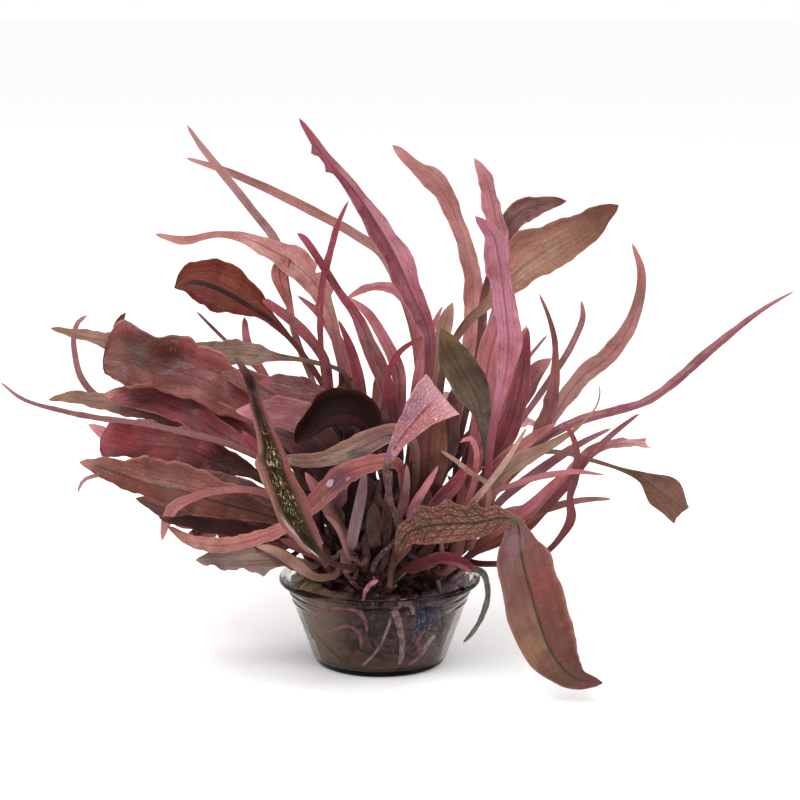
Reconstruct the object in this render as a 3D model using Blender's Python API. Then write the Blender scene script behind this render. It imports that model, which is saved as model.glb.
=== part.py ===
"""A potted cryptocoryne: a dense clump of narrow crimson, rose and bronze leaves.

The leaves grow from six short crowns, which stand on the rooting gel in a small clear pot.
Lengths are in millimetres until a mesh is made. The meshes are in metres, with +Z up.
The origin is the middle of the pot's flat base.
"""

from collections import namedtuple
from math import atan2, cos, radians, sin, tau

import bmesh
import bpy
import numpy as np

MM = 0.001

POT_HEIGHT = 17.2
POT_BASE_RADIUS = 13.0
POT_RIM_RADIUS = 19.0
POT_LIP = 1.0
POT_LIP_HEIGHT = 1.0
POT_WALL = 0.8
POT_FLOOR = 1.0
POT_FOOT_EDGE = 0.6
POT_STEPS = 36

GAP = 0.35
GEL_TOP = 14.0
GEL_DOME = 0.6
GEL_EDGE = 0.6
GEL_STEPS = 28

CROWN_RADIUS = 2.6
CROWN_HEIGHT = 8.0
CROWN_SIDES = 8
CROWN_FOOT = GEL_TOP + GEL_DOME + GAP

PETIOLE_START = 0.9
PETIOLE_WIDTH = 1.1
PETIOLE_RISE = 2.2
PETIOLE_LEAN = 0.8
PETIOLE_TIERS = (2.2, 4.0, 5.8)
PETIOLE_SPACING = radians(34.0)

LEAF_THICKNESS = 0.85
THICKNESS_SHARE = 0.85
RIB_PLACE = 0.45
LEAF_SIDES = 6
LEAF_PLACES = 12
SETTLE_PLACES = 36
SETTLE_ROUNDS = 200
SETTLE_STEP = 1.5
HELD_PLACES = 5
ELBOW_ROOM = 0.5

# The front view looks down a little at the object. Its eye fixes the lines along which points move.
VIEW_TILT = radians(11.0)
VIEW_DISTANCE = 420.0
VIEW_MIDDLE = (4.0, 51.4)
VIEW_UP = np.array([0.0, sin(VIEW_TILT), cos(VIEW_TILT)])
VIEW_AHEAD = np.array([0.0, cos(VIEW_TILT), -sin(VIEW_TILT)])
RIGHT = np.array([1.0, 0.0, 0.0])
UP = np.array([0.0, 0.0, 1.0])
EYE = VIEW_MIDDLE[0] * RIGHT + VIEW_MIDDLE[1] * VIEW_UP - VIEW_DISTANCE * VIEW_AHEAD

# Each crown's place on the gel: how far right of the pot's axis it stands, and how far in front.
CROWNS = {
    "crown_left": (-10.0, 2.0),
    "crown_back_left": (-6.0, -8.0),
    "crown_centre": (0.5, 0.0),
    "crown_front": (-1.0, 10.0),
    "crown_right": (10.0, 4.0),
    "crown_back_right": (6.5, -8.5),
}

# A leaf's route runs from petiole to tip. Each place on it is how far right and how far up the front
# view shows it from the pot's base, how far in front of the pot's axis it lies, and the leaf's width.
# Lift turns the leaf's upper face from the front towards the sky, and twist turns its tip, in degrees.
# Fold is how far the margins rise for each millimetre of half width.
Leaf = namedtuple("Leaf", "name crown tint lift twist fold route")

LEAVES = [
    Leaf("leaf_tall_crimson", "crown_centre", "crimson", 10, 15, 0.3, [
        (5.6, 31.8, 4, 1.5), (8.2, 45.8, 8, 1.7), (9.8, 57.8, 11, 2), (9.6, 65.8, 13, 3.6),
        (6.8, 71.8, 13, 4.9), (3, 80.3, 13, 6.2), (-1, 87.3, 14, 5), (-5.5, 93.8, 15, 3),
        (-11.5, 100.8, 16, 2.3), (-14.5, 105.3, 17, 1.5), (-16.2, 107.8, 17, 0.7)]),
    Leaf("leaf_thin_crimson", "crown_centre", "crimson", 20, 30, 0.4, [
        (2.5, 35.8, 4, 1.5), (2.8, 47.8, 5, 2.2), (0.8, 55.8, 5, 3.4), (-2, 62.3, 4, 3.6),
        (-4.6, 68.3, 3, 2.4), (-7.5, 72.3, 2, 1.8), (-10.2, 76.4, 0, 1.7), (-13, 80.8, -1, 1.7),
        (-15.2, 83.8, -2, 1.4), (-16.6, 84.8, -3, 0.8)]),
    Leaf("leaf_thin_upright", "crown_centre", "crimson", 10, 50, 0.4, [
        (-8.5, 42.8, -6, 1.3), (-11, 55.8, -10, 1.5), (-11.8, 66.4, -13, 1.8), (-11.4, 73.8, -15, 2),
        (-9.6, 81.4, -17, 2.2), (-8, 87, -18, 1.8), (-6.2, 91.4, -19, 0.6)]),
    Leaf("leaf_small_arch", "crown_centre", "salmon", 40, 0, 0.3, [
        (8.5, 41.8, -3, 1.2), (9, 55.8, -9, 1.6), (7, 66.8, -14, 2.2), (4, 72.3, -17, 2.6),
        (1, 73.8, -19, 2.6), (-3, 73.4, -20, 2), (-7, 71.4, -21, 0.7)]),
    Leaf("leaf_deep_crimson", "crown_centre", "crimson", 30, 0, 0.4, [
        (-2.5, 39.8, 0, 1.4), (-6, 47.8, -2, 2.6), (-10.5, 50.8, -4, 4.4), (-15, 52.8, -6, 4.8),
        (-20, 54.3, -8, 4), (-24.4, 55, -9, 1)]),
    Leaf("leaf_mauve_inner", "crown_centre", "rose", 25, 0, 0.3, [
        (-6, 33.8, 4, 1.5), (-10, 42.8, 6, 3.5), (-14, 46.8, 6, 6.4), (-19, 48.3, 5, 6.8),
        (-24, 48.8, 3, 4.6), (-29, 49.3, 1, 1)]),
    Leaf("leaf_arching_top_left", "crown_centre", "rose", 35, 25, 0.4, [
        (5, 35.8, -6, 1.4), (7.5, 49.8, -10, 1.7), (7.4, 61.8, -14, 2.3), (5.6, 69.8, -18, 2.7),
        (3.2, 75.8, -21, 2.8), (0.5, 80.6, -24, 2.7), (-5, 84.4, -27, 2.6), (-14, 89.4, -31, 2.6),
        (-23, 93.8, -35, 2.2), (-32, 97.6, -38, 1.8), (-38.8, 99.8, -40, 0.7)]),
    Leaf("leaf_long_left", "crown_left", "mauve", 50, 0, 0.3, [
        (-17.5, 30.8, 2, 1.3), (-21, 37.8, 4, 1.5), (-28, 41.6, 5, 1.7), (-40, 45, 5, 1.9),
        (-48, 46.6, 4, 1.9), (-56, 47.6, 2, 1.8), (-64, 49.2, 0, 1.5), (-72, 51.8, -3, 1.1),
        (-76, 55, -5, 0.6)]),
    Leaf("leaf_round_crimson", "crown_left", "crimson", 25, 0, 0.2, [
        (-17, 29.8, -2, 1.4), (-25, 36.3, -3, 2.4), (-32, 39, -4, 5.2), (-39, 41.2, -5, 7.8),
        (-46, 42.2, -6, 8.8), (-52, 42.8, -7, 8.6), (-56, 43.6, -8, 5)]),
    Leaf("leaf_salmon_left", "crown_left", "salmon", 20, 0, 0.4, [
        (-17, 25.8, 6, 1.4), (-25, 29, 10, 4.6), (-34, 31.4, 12, 8.2), (-41, 33.4, 12, 9.4),
        (-48, 35.2, 11, 8.2), (-54, 37.2, 10, 4.6), (-60.2, 39, 8, 0.8)]),
    Leaf("leaf_pink_hook", "crown_left", "rose", 10, -20, 0.3, [
        (-15, 24.8, 10, 1.4), (-19.5, 30.8, 18, 1.5), (-25, 33.2, 21, 1.5), (-32, 33.2, 21, 1.6),
        (-37.8, 31.6, 20, 2), (-41, 29.8, 19, 2.7), (-42.6, 27.2, 18, 2.3), (-43.6, 23.2, 17, 0.6)]),
    Leaf("leaf_withered_low", "crown_left", "withered", 40, 0, 0.2, [
        (-16.5, 18.8, 10, 1.6), (-21, 20.2, 12, 4.6), (-27, 20.4, 12, 6), (-33, 20, 12, 4.8),
        (-37, 19.4, 12, 1)]),
    Leaf("leaf_tan_left", "crown_left", "olive", 35, 0, 0.3, [
        (-17, 32.8, -8, 1.2), (-26, 41.3, -14, 1.6), (-36, 45.8, -18, 3.4), (-44, 48.2, -21, 4.6),
        (-51, 49.6, -23, 4.8), (-56, 50.8, -25, 4), (-62, 51.8, -27, 2.4), (-66.4, 51.4, -28, 0.7)]),
    Leaf("leaf_olive_tip_left", "crown_back_left", "olive", 40, 0, 0.4, [
        (-12, 31.8, -14, 1.3), (-19, 41.8, -21, 1.5), (-28, 50.8, -27, 1.8), (-38, 57.2, -32, 2.6),
        (-48, 61.2, -36, 3.4), (-55, 63, -38, 3.8), (-60.5, 64.2, -40, 3), (-66, 65.8, -41, 0.7)]),
    Leaf("leaf_broad_maroon", "crown_back_left", "maroon", 30, 0, 0.35, [
        (-11, 30.8, -10, 1.5), (-17, 40.8, -13, 1.8), (-24, 47.4, -16, 4.2), (-30, 50.8, -18, 8),
        (-37, 54.2, -20, 12), (-44, 57.2, -22, 14), (-50, 58.8, -23, 12.4), (-55.5, 59.3, -24, 4.5)]),
    Leaf("leaf_ovate_brown", "crown_back_left", "brown", 25, 0, 0.2, [
        (-7.5, 39.8, -14, 1.1), (-10, 51.4, -19, 1.2), (-14, 58.4, -23, 1.2), (-19, 64.6, -27, 1.4),
        (-23, 68.2, -30, 3.6), (-27.5, 71, -32, 8.6), (-33, 73.6, -34, 9.8), (-37.4, 74.8, -35, 7),
        (-41.2, 73.8, -36, 0.9)]),
    Leaf("leaf_olive_bar", "crown_back_left", "olive", 30, 0, 0.3, [
        (-8.5, 37.8, -14, 1.1), (-7, 49, -14, 1.1), (-7, 56.4, -14, 1.1), (-13, 58.8, -16, 1.2),
        (-20, 59.8, -18, 1.7), (-25, 60.2, -20, 4.4), (-30, 60.6, -22, 5.2), (-35, 61.4, -24, 3),
        (-38.6, 62, -25, 0.7)]),
    Leaf("leaf_salmon_torn", "crown_back_left", "salmon", 35, 20, 0.25, [
        (-6, 43.8, -14, 1.3), (-8, 59.8, -20, 1.8), (-11.4, 71.8, -25, 3.4), (-14, 76, -27, 5.2),
        (-18, 79.2, -29, 6), (-23, 82, -31, 4.2), (-28, 84, -33, 2.1), (-33, 84.4, -35, 1.3),
        (-39, 83.2, -37, 1.9), (-45, 84.6, -39, 0.7)]),
    Leaf("leaf_slender_top_left", "crown_back_left", "mauve", 30, 30, 0.4, [
        (-9, 39.8, -16, 1.2), (-13, 53.8, -24, 1.4), (-17, 64.8, -31, 1.7), (-18.8, 74.8, -36, 1.9),
        (-20.6, 82.8, -40, 2.1), (-25, 88.8, -43, 2), (-31.6, 97, -46, 1.9), (-36, 102.6, -48, 1.4),
        (-38.6, 106.4, -49, 0.6)]),
    Leaf("leaf_back_tall", "crown_back_left", "crimson", 60, 0, 0.3, [
        (-8, 33.8, -22, 1.4), (-10, 43.8, -36, 3.6), (-12, 49.8, -48, 6), (-14, 51.8, -58, 4.2),
        (-16, 50.8, -66, 0.8)]),
    Leaf("leaf_back_left", "crown_back_left", "brown", 60, 0, 0.3, [
        (-14, 35.8, -22, 1.4), (-21, 43.8, -34, 3.2), (-28, 48.3, -44, 5.2), (-34, 50.3, -52, 3.6),
        (-39, 50.8, -58, 0.8)]),
    Leaf("leaf_front_folded", "crown_front", "olive", 5, 0, 0.8, [
        (-4, 17.2, 16, 1.1), (-9, 18.6, 21, 1.3), (-13, 21.6, 26, 2.2), (-16, 25.8, 30, 4.8),
        (-19, 31.6, 33, 7), (-21, 37.8, 34, 6.8), (-22.6, 43.8, 34, 4.2), (-24.6, 50.2, 33, 2.8),
        (-26.4, 56, 32, 1.9), (-29.2, 60.2, 31, 0.7)]),
    Leaf("leaf_low_arc", "crown_front", "salmon", 25, 0, 0.3, [
        (3, 25.8, 14, 1.4), (5, 33.8, 17, 2), (3, 38.8, 20, 2.8), (-2, 38.4, 22, 3.8),
        (-7, 36.6, 24, 4.6), (-10.5, 33.2, 26, 4.2), (-14.5, 29.2, 27, 3.4), (-19, 25.8, 27, 3.1),
        (-26, 23.2, 26, 3.2), (-33, 22.2, 24, 3), (-38, 23.2, 22, 2.4), (-42.5, 26.2, 20, 0.8)]),
    Leaf("leaf_cut_pink", "crown_front", "rose", 15, 0, 0.35, [
        (3.5, 23.8, 18, 1.3), (2, 31.8, 24, 1.3), (1.6, 38.8, 29, 1.7), (4, 43.4, 31, 3.3),
        (7, 47.2, 33, 5.8), (10.5, 50.8, 34, 8.6), (12.4, 52.4, 34, 10.4)]),
    Leaf("leaf_brown_lip", "crown_front", "brown", 20, 0, 0.4, [
        (5, 27.8, 12, 1.4), (6.8, 36.8, 18, 1.6), (5.6, 43.4, 23, 2.4), (1.6, 44.4, 26, 3.8),
        (-3, 42.2, 27, 4.6), (-8, 40, 27, 4), (-13.5, 38.8, 27, 3.2), (-18, 39.2, 26, 2.1),
        (-20.5, 39.8, 25, 0.8)]),
    Leaf("leaf_dark_cupped", "crown_front", "maroon", 20, 0, 0.5, [
        (-5.6, 23.4, 12, 2.2), (-5.4, 30.8, 13, 2.6), (-3.5, 37.8, 13, 2.4), (-1.5, 43.3, 12, 3.6),
        (-3.5, 47.8, 10, 6.2), (-8.5, 48.3, 9, 7.4), (-13.5, 45.3, 9, 5.4), (-17, 42.8, 9, 1.2)]),
    Leaf("leaf_rusty_hanging", "crown_front", "rust", 10, 0, 0.15, [
        (2.4, 18.8, 16, 1.3), (4, 22.4, 21, 2.4), (6.4, 25.2, 24, 5.4), (10.4, 26.2, 26, 7.6),
        (15, 26.6, 27, 7.6), (20, 26.8, 28, 6.4), (24, 27.6, 28, 3.8), (26.6, 27.6, 28, 2.3),
        (27.6, 25.4, 28, 3.8), (28, 21.8, 28, 7.4), (28.8, 17.8, 28, 10.4), (30, 13.2, 28, 12),
        (31.4, 8.4, 28, 12), (33, 3.6, 28, 11), (35.4, -0.8, 28, 8.6), (38.8, -4.2, 28, 5),
        (44.6, -5.2, 28, 0.9)]),
    Leaf("leaf_olive_upright", "crown_right", "olive", 15, 20, 0.25, [
        (16, 25.8, 5, 1.4), (21, 35.8, 6, 1.6), (21, 44.8, 8, 2), (19.8, 50.8, 9, 4.8),
        (17.8, 55.2, 9, 7.4), (15.8, 59, 9, 7.2), (13.8, 62.8, 9, 4.6), (12.2, 65.8, 9, 0.8)]),
    Leaf("leaf_short_rose", "crown_right", "rose", 45, 0, 0.3, [
        (13.5, 24.8, 10, 1.2), (19, 31.4, 14, 1.5), (25, 34, 16, 1.9), (32, 36.2, 17, 2.1),
        (39, 37.2, 17, 1.6), (45.2, 36.4, 16, 0.6)]),
    Leaf("leaf_inner_bronze", "crown_right", "brown", 0, 20, 0.2, [
        (9.4, 27.8, 9, 1.6), (9.6, 32.4, 11.5, 4.2), (9.8, 37.8, 13.5, 7.2), (10, 43.8, 14, 7.2),
        (10.6, 48.8, 14, 5.2), (11.4, 52.8, 14, 0.9)]),
    Leaf("leaf_purple_strap", "crown_right", "purple", 0, 20, 0.3, [
        (18, 23.8, 8, 1.3), (21.4, 35.8, 14, 1.5), (22.6, 45.8, 17, 1.7), (24.4, 53.2, 18, 2.4),
        (25.4, 57.8, 18, 3.8), (25.8, 63.4, 18, 5.2), (25.4, 68.8, 18, 4.6), (24.6, 74.4, 18, 4.6),
        (23.8, 79.8, 19, 5.2), (22.8, 84.2, 20, 4.4), (19, 88.2, 21, 0.8)]),
    Leaf("leaf_front_reed", "crown_right", "tan", 30, 0, 0.5, [
        (12, 20, 13, 1.3), (12.5, 24.3, 18, 1.4), (17, 29.4, 23, 1.7), (21, 34, 27, 1.8),
        (25, 39.2, 29, 1.6), (29.4, 46, 31, 0.6)]),
    Leaf("leaf_thin_right", "crown_right", "crimson", 30, 0, 0.4, [
        (24, 22.8, 10, 1.3), (29, 25.2, 12, 1.5), (34, 30.4, 13, 1.7), (38.4, 35.4, 13, 1.7),
        (42, 40, 13, 1.5), (46, 44, 12, 1.3), (52, 48.8, 11, 0.6)]),
    Leaf("leaf_wavy_stem", "crown_right", "crimson", 20, 0, 0.3, [
        (21, 18.6, 8, 1.3), (27, 18.8, 10, 1.2), (32.4, 20.4, 12, 1.2), (36.2, 24, 14, 1.4),
        (38.4, 28.2, 15, 2.1), (38, 31.8, 15, 1.4), (38.8, 35.2, 15, 1.7), (39.4, 39.8, 15, 1.5),
        (38.6, 44, 14, 1.1), (36.6, 47.2, 13, 0.6)]),
    Leaf("leaf_tan_hook", "crown_right", "tan", 30, 0, 0.4, [
        (15, 22.8, 6, 1.3), (20, 29.8, 10, 1.8), (24, 35.8, 12, 3), (28, 38.8, 13, 3.4),
        (32.4, 41.2, 13, 2.8), (37, 44, 13, 1.9), (40.6, 47, 13, 1.2), (43.4, 50.4, 12, 1),
        (44, 53, 12, 0.8), (43.6, 55, 12, 0.5)]),
    Leaf("leaf_long_right", "crown_right", "mauve", 45, 20, 0.4, [
        (17, 26.8, 3.5, 1.5), (24.5, 36.4, 4, 2.1), (32, 42.8, 3, 2.7), (39, 46.6, 2, 3),
        (47, 48.8, 0, 3), (53, 50.6, -2, 3.1), (59, 54.6, -4, 3.1), (65, 60, -6, 2.9),
        (71, 65, -8, 2.4), (77, 69.6, -10, 1.6), (83, 73.2, -12, 0.6)]),
    Leaf("leaf_rose_tall", "crown_back_right", "salmon", 10, 20, 0.3, [
        (12.5, 35.8, -15, 1.3), (16.2, 51.8, -23, 1.7), (18.6, 66.8, -29, 3.6), (18.4, 76.8, -33, 3.7),
        (16.2, 85.4, -36, 3.2), (13.4, 91.8, -38, 4), (11, 95.2, -39, 4.7), (7.4, 97.8, -40, 2.7),
        (4, 101.2, -41, 1.7), (2.4, 102.4, -42, 0.6)]),
    Leaf("leaf_rose_upright", "crown_back_right", "rose", 0, 30, 0.3, [
        (17.5, 41.8, -16, 1.3), (21.4, 59.8, -21, 2.4), (23.6, 73.8, -24, 3.8), (23.8, 83.8, -26, 4.2),
        (22.6, 90.8, -28, 4.2), (21, 96.4, -29, 3.3), (18.8, 99.8, -30, 0.8)]),
    Leaf("leaf_bronze_blade", "crown_back_right", "bronze", 20, 0, 0.25, [
        (10, 35.8, -3, 1.2), (11.6, 49.8, -2, 1.4), (14, 61.4, -1, 1.6), (18, 67.4, -1, 1.9),
        (23, 71.8, -2, 2.9), (26, 75.4, -2, 7), (30, 79, -3, 10.4), (35.6, 82.4, -4, 9.4),
        (41, 85.4, -5, 6.8), (45, 88.4, -6, 3.8), (47.8, 90.4, -7, 0.8)]),
    Leaf("leaf_dark_blade", "crown_back_right", "maroon", 20, 0, 0.3, [
        (16, 43.8, -13, 1.3), (20, 61.8, -20, 1.6), (22.4, 75.8, -26, 2.2), (24.6, 83.8, -30, 3.5),
        (27.6, 88.4, -33, 5.2), (32, 90.2, -35, 3.8), (37.4, 91.2, -37, 0.7)]),
    Leaf("leaf_salmon_stemmed", "crown_back_right", "salmon", 15, 40, 0.35, [
        (17, 25.8, -3, 1.3), (22.4, 32.4, -4, 1.8), (27.4, 37.8, -5, 2.6), (31, 42.2, -6, 3.6),
        (33.4, 46.8, -6, 4.2), (34.8, 51.8, -7, 3.3), (35.2, 57.8, -8, 1.9), (35, 63.8, -9, 1.3),
        (33.6, 68.8, -10, 1), (31.8, 72.8, -11, 0.5)]),
    Leaf("leaf_crimson_diagonal", "crown_back_right", "crimson", 20, 0, 0.35, [
        (14, 29.8, -10, 1.3), (19, 38.8, -13, 2), (23, 45.4, -15, 3.8), (26.6, 50.2, -16, 5.2),
        (29.6, 54.4, -17, 4.8), (32, 57.8, -18, 2.9), (34.4, 59.8, -19, 0.8)]),
    Leaf("leaf_curved_right", "crown_back_right", "rose", 35, 0, 0.4, [
        (17, 28.8, -14, 1.3), (26, 37.8, -20, 1.5), (33, 45.4, -25, 2.1), (37, 51.4, -29, 3.4),
        (41, 56.4, -32, 3.7), (45.4, 59.6, -34, 4), (49.4, 65, -36, 3.2), (51.8, 71.4, -38, 2.2),
        (52.2, 77.4, -39, 1.7), (50.4, 82.8, -40, 0.6)]),
    Leaf("leaf_cut_pink_right", "crown_back_right", "rose", 45, 0, 0.4, [
        (15.5, 24.8, -18, 1.3), (26, 29.2, -24, 1.7), (32, 30.4, -28, 1.9), (36, 33.6, -31, 2.1),
        (39, 37.8, -34, 2.3), (43, 41.2, -36, 2.5), (48, 42.4, -38, 2.7), (53.2, 42.4, -41, 2.8)]),
    Leaf("leaf_spoon", "crown_back_right", "brown", 20, 0, 0.25, [
        (15, 27.8, -12, 1.1), (23, 35.8, -16, 1), (29, 40.2, -18, 1), (35, 41, -20, 1),
        (42, 39.4, -22, 1), (49, 37.2, -24, 1.1), (52, 36, -25, 2.3), (54.6, 34, -26, 5.3),
        (57.6, 31.2, -27, 5.8), (59.8, 28.6, -28, 4.5)]),
    Leaf("leaf_faint_right", "crown_back_right", "mauve", 30, 0, 0.3, [
        (16, 33.8, -18, 1.1), (27, 45.8, -27, 1.2), (34, 55.4, -35, 1.4), (38.6, 62.8, -40, 1.4),
        (40.6, 68.4, -43, 1.1), (40.2, 71.4, -45, 0.5)]),
    Leaf("leaf_back_upright", "crown_back_right", "bronze", 60, 0, 0.3, [
        (10, 33.8, -22, 1.4), (12.5, 43.8, -36, 3.6), (14, 49.8, -48, 6.2), (15, 51.8, -58, 4.4),
        (16, 50.8, -66, 0.8)]),
    Leaf("leaf_back_right", "crown_back_right", "rose", 60, 0, 0.3, [
        (14, 33.8, -20, 1.4), (21, 41.8, -34, 3.4), (26, 45.8, -45, 5), (30, 46.8, -54, 3.4),
        (34, 45.8, -61, 0.8)]),
]

# The roots in the gel, placed like the leaves. The last number is the root's width.
GEL_ROOTS = {
    "root_pale_front": ("pale", [
        (2.6, 12, 12.2, 1.3), (3.8, 7.6, 12.8, 1.6), (4.4, 3.4, 12, 1.5), (3.8, -0.4, 10.8, 1.1)]),
    "root_pink_arch": ("pink", [
        (-4.2, 12, 12.2, 1), (-5.2, 8.6, 12.6, 1.1), (-7.6, 7.6, 11.6, 1.1), (-9.6, 4.4, 9, 0.9)]),
    "root_brown_side": ("brown", [
        (-13.6, 13.2, 4.6, 0.9), (-13.4, 8.6, 5.8, 1), (-11.2, 3.8, 7, 0.8)]),
}
RIM_ROOT = [
    (14, 15.4, 11, 1.2), (17.6, 17.6, 14, 1.3), (20.4, 17, 15.5, 1.3), (21.6, 13, 16, 1.2),
    (20.6, 8.6, 16, 1.1), (18.6, 5, 15.5, 0.9), (16.6, 2.8, 15, 0.6)]
ROOT_PLACES = 9
CHANNEL_LIFT = 3.0

TINTS = {
    "crimson": (0.23, 0.035, 0.06),
    "rose": (0.38, 0.13, 0.16),
    "salmon": (0.40, 0.14, 0.13),
    "purple": (0.33, 0.09, 0.16),
    "mauve": (0.24, 0.09, 0.11),
    "maroon": (0.10, 0.03, 0.035),
    "brown": (0.16, 0.06, 0.04),
    "bronze": (0.28, 0.12, 0.08),
    "olive": (0.17, 0.11, 0.06),
    "tan": (0.40, 0.24, 0.15),
    "rust": (0.30, 0.11, 0.06),
    "withered": (0.20, 0.14, 0.11),
    "crown": (0.14, 0.06, 0.05),
    "pale": (0.45, 0.33, 0.30),
    "pink": (0.40, 0.15, 0.17),
    "olive_root": (0.14, 0.12, 0.08),
    "gel": (0.30, 0.26, 0.22),
    "pot": (0.80, 0.82, 0.80),
}
LEAF_ROUGHNESS = 0.35
CLEAR_ROUGHNESS = 0.1


def clear_scene():
    for thing in list(bpy.data.objects):
        bpy.data.objects.remove(thing)


def tint_material(tint):
    """The plain material of one tint, made the first time that it is asked for."""
    if tint in bpy.data.materials:
        return bpy.data.materials[tint]
    material = bpy.data.materials.new(tint)
    material.use_nodes = True
    shader = material.node_tree.nodes["Principled BSDF"]
    shader.inputs["Base Color"].default_value = (*TINTS[tint], 1.0)
    shader.inputs["Roughness"].default_value = CLEAR_ROUGHNESS if tint == "pot" else LEAF_ROUGHNESS
    shader.inputs["Metallic"].default_value = 0.0
    return material


def add_object(name, shape, tint):
    """Puts a finished bmesh, still in millimetres, into the scene as one closed object in metres."""
    bmesh.ops.recalc_face_normals(shape, faces=shape.faces)
    bmesh.ops.scale(shape, vec=(MM, MM, MM), verts=shape.verts)
    mesh = bpy.data.meshes.new(name)
    shape.to_mesh(mesh)
    shape.free()
    mesh.shade_smooth()
    mesh.set_sharp_from_angle(angle=radians(50.0))
    mesh.materials.append(tint_material(tint))
    thing = bpy.data.objects.new(name, mesh)
    bpy.context.scene.collection.objects.link(thing)
    return thing


def turned(profile, steps, centre=(0.0, 0.0)):
    """A solid turned about an upright axis. Its profile of (radius, height) starts and ends on the axis."""
    shape = bmesh.new()
    points = [shape.verts.new((radius, 0.0, height)) for radius, height in profile]
    edges = [shape.edges.new(pair) for pair in zip(points, points[1:])]
    bmesh.ops.spin(
        shape, geom=points + edges, axis=(0, 0, 1), cent=(0, 0, 0), angle=tau, steps=steps, use_merge=True)
    bmesh.ops.remove_doubles(shape, verts=shape.verts, dist=1e-4)
    bmesh.ops.translate(shape, verts=shape.verts, vec=(centre[0], centre[1], 0.0))
    return shape


def pot_radius(height):
    """The radius of the pot's outside at a height above its base."""
    return POT_BASE_RADIUS + (POT_RIM_RADIUS - POT_BASE_RADIUS) * height / POT_HEIGHT


def make_pot():
    lip = POT_RIM_RADIUS + POT_LIP
    under_lip = POT_HEIGHT - POT_LIP_HEIGHT
    profile = [
        (0.0, 0.0),
        (POT_BASE_RADIUS - POT_FOOT_EDGE, 0.0),
        (pot_radius(POT_FOOT_EDGE), POT_FOOT_EDGE),
        (pot_radius(under_lip), under_lip),
        (lip, under_lip + 0.2 * POT_LIP_HEIGHT),
        (lip, POT_HEIGHT - 0.4 * POT_LIP_HEIGHT),
        (lip - 0.3 * POT_LIP, POT_HEIGHT),
        (POT_RIM_RADIUS - POT_WALL, POT_HEIGHT),
        (pot_radius(POT_FLOOR) - POT_WALL, POT_FLOOR),
        (0.0, POT_FLOOR),
    ]
    return add_object("pot", turned(profile, POT_STEPS), "pot")


def make_gel(channels):
    """The plug of gel. Each root in it lies in a channel that is open at the top."""
    inset = POT_WALL + GAP
    foot = POT_FLOOR + GAP
    profile = [
        (0.0, foot),
        (pot_radius(foot) - inset - GEL_EDGE, foot),
        (pot_radius(foot + GEL_EDGE) - inset, foot + GEL_EDGE),
        (pot_radius(GEL_TOP) - inset, GEL_TOP),
        (pot_radius(GEL_TOP) - inset - 4 * GEL_EDGE, GEL_TOP + 0.7 * GEL_DOME),
        (0.0, GEL_TOP + GEL_DOME),
    ]
    gel = add_object("gel", turned(profile, GEL_STEPS), "gel")
    for channel in channels:
        channel.hide_render = True
        channel.display_type = "WIRE"
        cut = gel.modifiers.new("channel for a root", "BOOLEAN")
        cut.operation = "DIFFERENCE"
        cut.object = channel
    return gel


def make_crown(name, right, near):
    """A short stem with the rings that old leaves left, ending in a bud."""
    foot = CROWN_FOOT
    profile = [
        (0.0, foot),
        (0.8 * CROWN_RADIUS, foot),
        (CROWN_RADIUS, foot + 1.4),
        (0.86 * CROWN_RADIUS, foot + 2.8),
        (0.9 * CROWN_RADIUS, foot + 4.2),
        (0.62 * CROWN_RADIUS, foot + 6.2),
        (0.0, foot + CROWN_HEIGHT),
    ]
    return add_object(name, turned(profile, CROWN_SIDES, (right, -near)), "crown")


def placed(right, up, near, width):
    """The real place and width of a point that the front view shows at a place and a size."""
    seen = right * RIGHT + up * VIEW_UP
    stretch = (-near - EYE[1]) / (seen[1] - EYE[1])
    return np.array([*(EYE + stretch * (seen - EYE)), stretch * width])


def smooth_route(knots, places):
    """Evenly spaced places on one smooth curve through the knots."""
    knots = np.array(knots, float)
    steps = np.linalg.norm(np.diff(knots[:, :3], axis=0), axis=1)
    reached = np.concatenate(([0.0], np.cumsum(steps)))
    slopes = np.gradient(knots, reached, axis=0)
    wanted = np.linspace(0.0, reached[-1], places)
    span = np.clip(np.searchsorted(reached, wanted, side="right") - 1, 0, len(steps) - 1)
    step = steps[span][:, None]
    t = (wanted[:, None] - reached[span][:, None]) / step
    start = (2 * t**3 - 3 * t**2 + 1) * knots[span] + (t**3 - 2 * t**2 + t) * step * slopes[span]
    end = (3 * t**2 - 2 * t**3) * knots[span + 1] + (t**3 - t**2) * step * slopes[span + 1]
    return start + end


def spread_headings(headings):
    """Moves the directions round a crown apart until neighbours have room for their petioles."""
    order = np.argsort(headings)
    spread = np.array(headings)[order]
    count = len(spread)
    room = min(PETIOLE_SPACING, 0.96 * tau / count)
    for _ in range(400):
        gaps = np.diff(np.append(spread, spread[0] + tau))
        short = np.maximum(room - gaps, 0.0) / 2
        spread = spread - short + np.roll(short, 1)
    result = np.empty(count)
    result[order] = spread
    return result


def petiole_knots():
    """Every leaf's knots, with its petiole's start beside its crown put in front of its route."""
    knots = {leaf.name: [placed(*place) for place in leaf.route] for leaf in LEAVES}
    for crown, (right, near) in CROWNS.items():
        grown = [leaf.name for leaf in LEAVES if leaf.crown == crown]
        ahead = [knots[name][0] for name in grown]
        headings = spread_headings([atan2(place[1] + near, place[0] - right) for place in ahead])
        tiers = np.argsort(np.argsort(headings)) % len(PETIOLE_TIERS)
        for name, heading, tier in zip(grown, headings, tiers):
            outward = np.array([cos(heading), sin(heading), 0.0])
            width = min(knots[name][0][3], PETIOLE_WIDTH)
            height = CROWN_FOOT + PETIOLE_TIERS[tier]
            start = np.array([right, -near, height]) + (CROWN_RADIUS + PETIOLE_START) * outward
            rise = start + PETIOLE_RISE * (PETIOLE_LEAN * outward + UP)
            knots[name] = [np.append(start, width), np.append(rise, width), *knots[name]]
    return knots


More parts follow.
